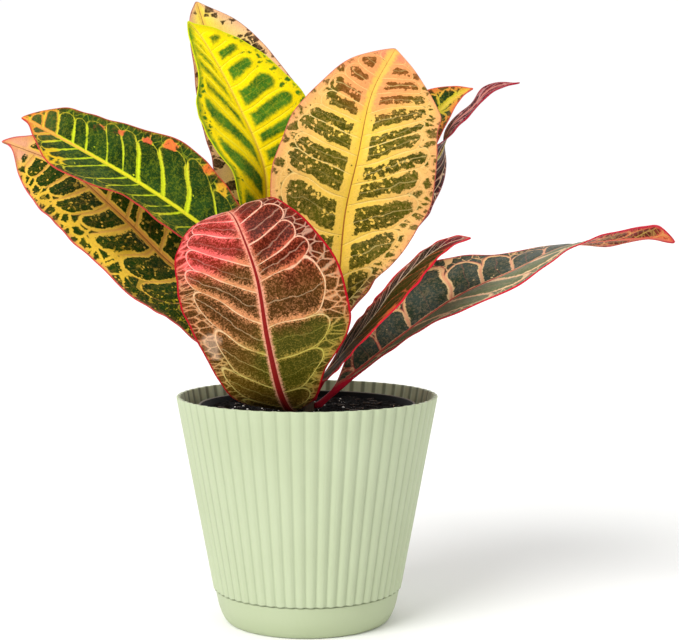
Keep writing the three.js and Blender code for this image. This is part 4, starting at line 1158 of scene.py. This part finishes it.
# The narrow dark red leaf at the right, seen nearly edge on
grow_leaf(
    "leaf_narrow_right", "leaf_dark_red", 8, stalk=0.1, stalk_radius=1.8, loop=0.84,
    spine=[(3, -9, 128), (10, -17, 142), (28, -28, 165.5), (39.5, -33, 180), (49.5, -34, 194),
           (65.5, -34, 209.5), (78.5, -32, 217.5), (91, -30, 221)],
    left=[6, 16, 15, 9, 11.5, 11, 8, 5], right=[21.5, 25.5, 27, 28, 24, 15.5, 7.5, 3.5],
    face=[(-0.72, -0.17, 0.62), (-0.67, -0.24, 0.65), (-0.57, -0.27, 0.7)],
    fold=[10, 5, 5], wave=(1, 2, 0.2),
    left_veins=even_veins(11, 81, 0.3, 1.6), right_veins=even_veins(6, 82, 0.12, 1.3),
    look=dict(
        light=("#5c403c", "#5c3230"), dark=("#0e1410", "#1c1612"), vein="#b89c8c", vein_width=(0.3, 0.25),
        ragged=0.6, mosaic=1.2, start=0.9, specks=0.1, flecks=0, sparkle=0.06, branches=0.5, net=0.1,
        outer=(0.85, 7, 0.1, 0.4), right_half=("#a84c28", "#122004", "#9c5038"),
        midrib=("#b8a888", 0.8, 0.35), midrib_soft=0.2, line=None, margin=("#c4142c", 1.5),
        blush=("#d44c30", 7, 0.6), stalk="#8c1424",
        patches=[patch((0.97, 0), 20, "#8c2430", "#541420")]),
    back=dict(
        light=("#c87850", "#b84840"), dark=("#4a4620", "#5c3c24"), vein="#d8a468", start=1.5,
        midrib=("#c84040", 1.6, 0.5), margin=("#cc2434", 1.2), stalk="#a81828"),
)

# The small green leaf whose end shows behind the centre leaf
grow_leaf(
    "leaf_small_green_right", "leaf_olive", 9, stalk=0.12, stalk_radius=1.4, loop=0.8,
    spine=[(3, 5, 178), (10, 28, 194), (36, 46, 235.5), (58.5, 52, 272.5), (78.5, 54, 295),
           (89.5, 55, 304), (99, 56, 308.5)],
    left=[8, 14, 20, 23, 22.5, 17.5, 8, 2.5], right=[8, 14, 17, 17.5, 15, 9.5, 4, 1],
    face=[(0, -0.9, 0.3), (-0.01, -0.9, 0.31), (-0.02, -0.89, 0.32)],
    fold=[20, 10, 10], wave=(1, 2, 0.2),
    left_veins=even_veins(11, 91, 0.8, 0.6), right_veins=even_veins(11, 92, 0.8, 0.6),
    look=dict(
        light=("#c8bc2c", "#e08838"), dark=("#0e2c0c", "#1e4018"), vein="#d8cc48", ragged=0.6, mosaic=1.2,
        start=1.8, specks=0.2, flecks=0, outer=(0.9, 4.5, 0.3, 0.2), midrib=("#d8c040", 1.6, 0.9),
        line=None, margin=("#cc5040", 0.6), blush=("#e0703c", 5, 0.6), stalk="#a89a38"),
    back=underside(
        ("#b8a850", "#c08a48"), ("#50603a", "#5c5c38"), "#c0b058", "#b85c48", "#a89a38"),
)

# The purple leaf beside it, twisted so that its underside shows
grow_leaf(
    "leaf_purple_twisted", "leaf_purple", 10, stalk=0.14, stalk_radius=1.4, loop=0.8,
    spine=[(4, 4, 163), (16, 16, 182), (36, 22, 218), (56.5, 24, 247), (75, 25, 265.5),
           (83.5, 27, 283.5), (96, 29, 295), (107.5, 31, 306.5), (124.5, 34, 310.5)],
    left=[9, 18, 26.5, 20.5, 10, 5, 5.5, 1], right=[9, 18, 22.5, 17.5, 9.5, 3.5, 4.5, 1],
    face=[(-0.6, 0.55, 0.5), (-0.5, 0.69, 0.4), (-0.52, 0.77, 0.4), (-0.56, -0.34, 0.56), (0.01, -0.42, 0.9)],
    fold=[10, 0, 0], wave=(1, 2, 0.2),
    left_veins=even_veins(8, 101, 0.3, 3), right_veins=even_veins(8, 102, 0.3, 3),
    look=dict(
        light=("#84343a", "#842c34"), dark=("#220a0e", "#300e12"), vein="#d89c98", ragged=0.4, start=1.2,
        specks=0, flecks=0, branches=0.7, net=0.1, outer=(1, 4.5, 0.2, 0.5), midrib=("#b87a6c", 1, 0.5),
        line=None, margin=("#9c1c30", 0.8), blush=("#8c1c2c", 4, 0.5), stalk="#983038",
        patches=[patch((0.95, 0), 18, "#8c2028", "#5c1018")]),
    back=dict(
        light=("#7c3c38", "#7c2c34"), dark=("#2a1410", "#361818"), vein="#ecd0a8", ragged=0.4, start=1.2,
        specks=0, flecks=0, branches=0.3, loops=1, outer=(1, 5, 0.2, 1), midrib=("#b8a850", 1.3, 0.6),
        line=None, margin=("#983044", 1), blush=("#a04038", 4, 0.5), stalk="#983038",
        patches=[patch((0.27, 0), 22, "#d84c20", "#74200f"), patch((0.97, 0), 20, "#8c2028", "#5c1018")]),
)

# The green leaf at the back on the right
grow_leaf(
    "leaf_back_right", "leaf_back_green", 11, stalk=0.14, stalk_radius=1.6, loop=0.82,
    spine=[(2, 4, 140), (7, 24, 157), (14, 52, 181), (20, 78, 202), (25, 100, 216), (28, 116, 221)],
    left=[8, 16, 22, 24, 22, 16, 9, 3.5], right=[7, 15, 22, 25, 22, 16, 9, 3.5],
    face=[(-0.1, -0.6, 0.8), (-0.1, -0.6, 0.8), (0, -0.2, 1)],
    fold=[20, 12, 8], wave=(1.5, 2, 0.5),
    left_veins=even_veins(11, 111, 0.9, 0.45), right_veins=even_veins(11, 112, 0.9, 0.45),
    look=dict(
        light=("#ccc028", "#d09c38"), dark=("#16300f", "#28481a"), vein="#dcd040", ragged=0.5, start=2,
        flecks=0.1, outer=(0.8, 4.5, 0.3, 0.3), midrib=("#dccc44", 1.8, 0.8), line=None,
        margin=("#c04838", 0.8), blush=("#d8702c", 4.5, 0.5), stalk="#a8a040"),
    back=underside(
        ("#b8a850", "#b8804c"), ("#4c5834", "#5c5438"), "#c8b458", "#b04c40", "#a8a040"),
)

# The red leaf at the back on the left
grow_leaf(
    "leaf_back_left", "leaf_back_red", 12, stalk=0.14, stalk_radius=1.6, loop=0.82,
    spine=[(-4, 3, 145), (-15, 22, 161), (-34, 46, 186), (-52, 70, 204), (-66, 90, 214), (-74, 104, 216)],
    left=[9, 17, 23, 24, 21, 15, 8, 3.5], right=[8, 16, 21, 23, 21, 15, 8, 3.5],
    face=[(0.3, -0.5, 0.8), (0.3, -0.5, 0.8), (0.1, -0.1, 1)],
    fold=[20, 12, 8], wave=(1.5, 2, 0.9),
    left_veins=even_veins(11, 121, 1.1, 0.45), right_veins=even_veins(11, 122, 1.1, 0.45),
    look=dict(
        light=("#cc6c44", "#b8443c"), dark=("#2c2010", "#402e16"), vein="#e8a878", lopsided=0.6,
        mosaic=1.6, start=2.4, branches=0.5, outer=(0.9, 4.5, 0.3, 0.6), midrib=("#d88868", 2, 0.9),
        line=("#902c28", 0.3, 0.2), margin=("#a82430", 0.9), blush=("#b83c3c", 5, 0.5), stalk="#a02c2c"),
    back=underside(
        ("#c06a50", "#b04c44"), ("#5c3a28", "#64422c"), "#c87860", "#a83038", "#a02c2c"),
)

# The young leaf, still folded, at the stem's growing tip
grow_leaf(
    "leaf_young_apex", "leaf_young", 13, stalk=0.2, stalk_radius=1, loop=0.82, quilt=0.4,
    spine=[(-1.5, -3.4, 183), (-3, -7, 188), (-4, -9, 204), (-3, -10, 222)],
    left=[3, 5, 6.5, 7, 6, 4, 2.5, 1], right=[3, 5, 6.5, 7, 6, 4, 2.5, 1],
    face=[(0.3, 0.6, 0.6), (0.3, 0.9, 0.3), (0.3, 0.9, 0.5)],
    fold=[30, 28, 20], wave=(0.4, 2, 0.9),
    left_veins=even_veins(9, 131, 0.3, 0.6), right_veins=even_veins(9, 132, 0.3, 0.6),
    look=dict(
        light=("#c4cc34", "#b4c03c"), dark=("#6c9024", "#5c8424"), vein="#d8dc58", vein_width=(0.15, 0.15),
        ragged=0.2, mosaic=0.4, start=0.8, specks=0, flecks=0, net=0.1, midrib=("#d8d458", 0.8, 0.4),
        line=None, margin=("#c09840", 0.35), blush=("#c8a840", 2, 0.4), stalk="#b0b840"),
    back=dict(
        light=("#c0c850", "#b8c050"), dark=("#8ca448", "#84a044"), start=0.8, ragged=0.2, mosaic=0.4,
        midrib=("#d8d868", 0.8, 0.4), line=None, margin=("#c0a050", 0.35), stalk="#b0b840"),
)


# Studio
# A pale floor and a white backdrop, with a soft light from the upper left in front, a weaker one from
# the right, and a camera 0.9 m in front that looks slightly down on the plant.

PHOTO_WIDTH = 679
FOCAL_PIXELS = 1576.5
CAMERA_PLACE = Vector((18.55, -900, 243.4)) * MM
CAMERA_PITCH = 0.078                 # how far it looks down, in radians
SENSOR = 36
FLOOR_REACH = 12000
FLOOR_CORNERS = [(-1, -1, 0), (1, -1, 0), (1, 1, 0), (-1, 1, 0)]
BACKDROP_LIGHT = 1.02                # the white sweep behind the plant
ROOM_LIGHT = 0.5                     # the darker room in front of it

floor_material = Surface("pale_floor").coat(paint("#f7f7f5"), 0.8, specular=0.2)
floor = new_piece("studio_floor", np.array(FLOOR_CORNERS) * FLOOR_REACH, [(0, 1, 2, 3)], [floor_material])

world = bpy.data.worlds.new("photo_room")
bpy.context.scene.world = world
world.use_nodes = True
room = world.node_tree
directions = room.nodes.new("ShaderNodeTexCoord")
axes = room.nodes.new("ShaderNodeSeparateXYZ")
brightness = room.nodes.new("ShaderNodeMapRange")
brightness.interpolation_type = "SMOOTHSTEP"
for place, value in enumerate((-0.1, 0.55, ROOM_LIGHT, BACKDROP_LIGHT), start=1):
    brightness.inputs[place].default_value = value
room.links.new(directions.outputs["Generated"], axes.inputs[0])
room.links.new(axes.outputs["Y"], brightness.inputs[0])
room.nodes["Background"].inputs["Color"].default_value = (1, 1, 1, 1)
room.links.new(brightness.outputs[0], room.nodes["Background"].inputs["Strength"])


def sunlight(name, turn, height, softness, strength):
    """A soft, even light from far off. turn is its direction from the front towards the right, in degrees."""
    data = bpy.data.lights.new(name, "SUN")
    data.energy = strength
    data.angle = math.radians(softness)
    lamp = bpy.data.objects.new(name, data)
    turn, height = math.radians(turn), math.radians(height)
    level = math.cos(height)
    towards = Vector((math.sin(turn) * level, -math.cos(turn) * level, math.sin(height)))
    lamp.rotation_mode = "QUATERNION"
    lamp.rotation_quaternion = (-towards).to_track_quat("-Z", "Y")
    bpy.context.scene.collection.objects.link(lamp)


sunlight("key_light", -40, 38, 36, 2.7)
sunlight("fill_light", 40, 20, 60, 0.65)

camera_data = bpy.data.cameras.new("camera")
camera_data.sensor_width = SENSOR
camera_data.lens = FOCAL_PIXELS / PHOTO_WIDTH * SENSOR
camera = bpy.data.objects.new("camera", camera_data)
camera.location = CAMERA_PLACE
camera.rotation_euler = (math.pi / 2 - CAMERA_PITCH, 0, 0)
bpy.context.scene.collection.objects.link(camera)
bpy.context.scene.camera = camera
bpy.context.scene.view_settings.view_transform = "Standard"
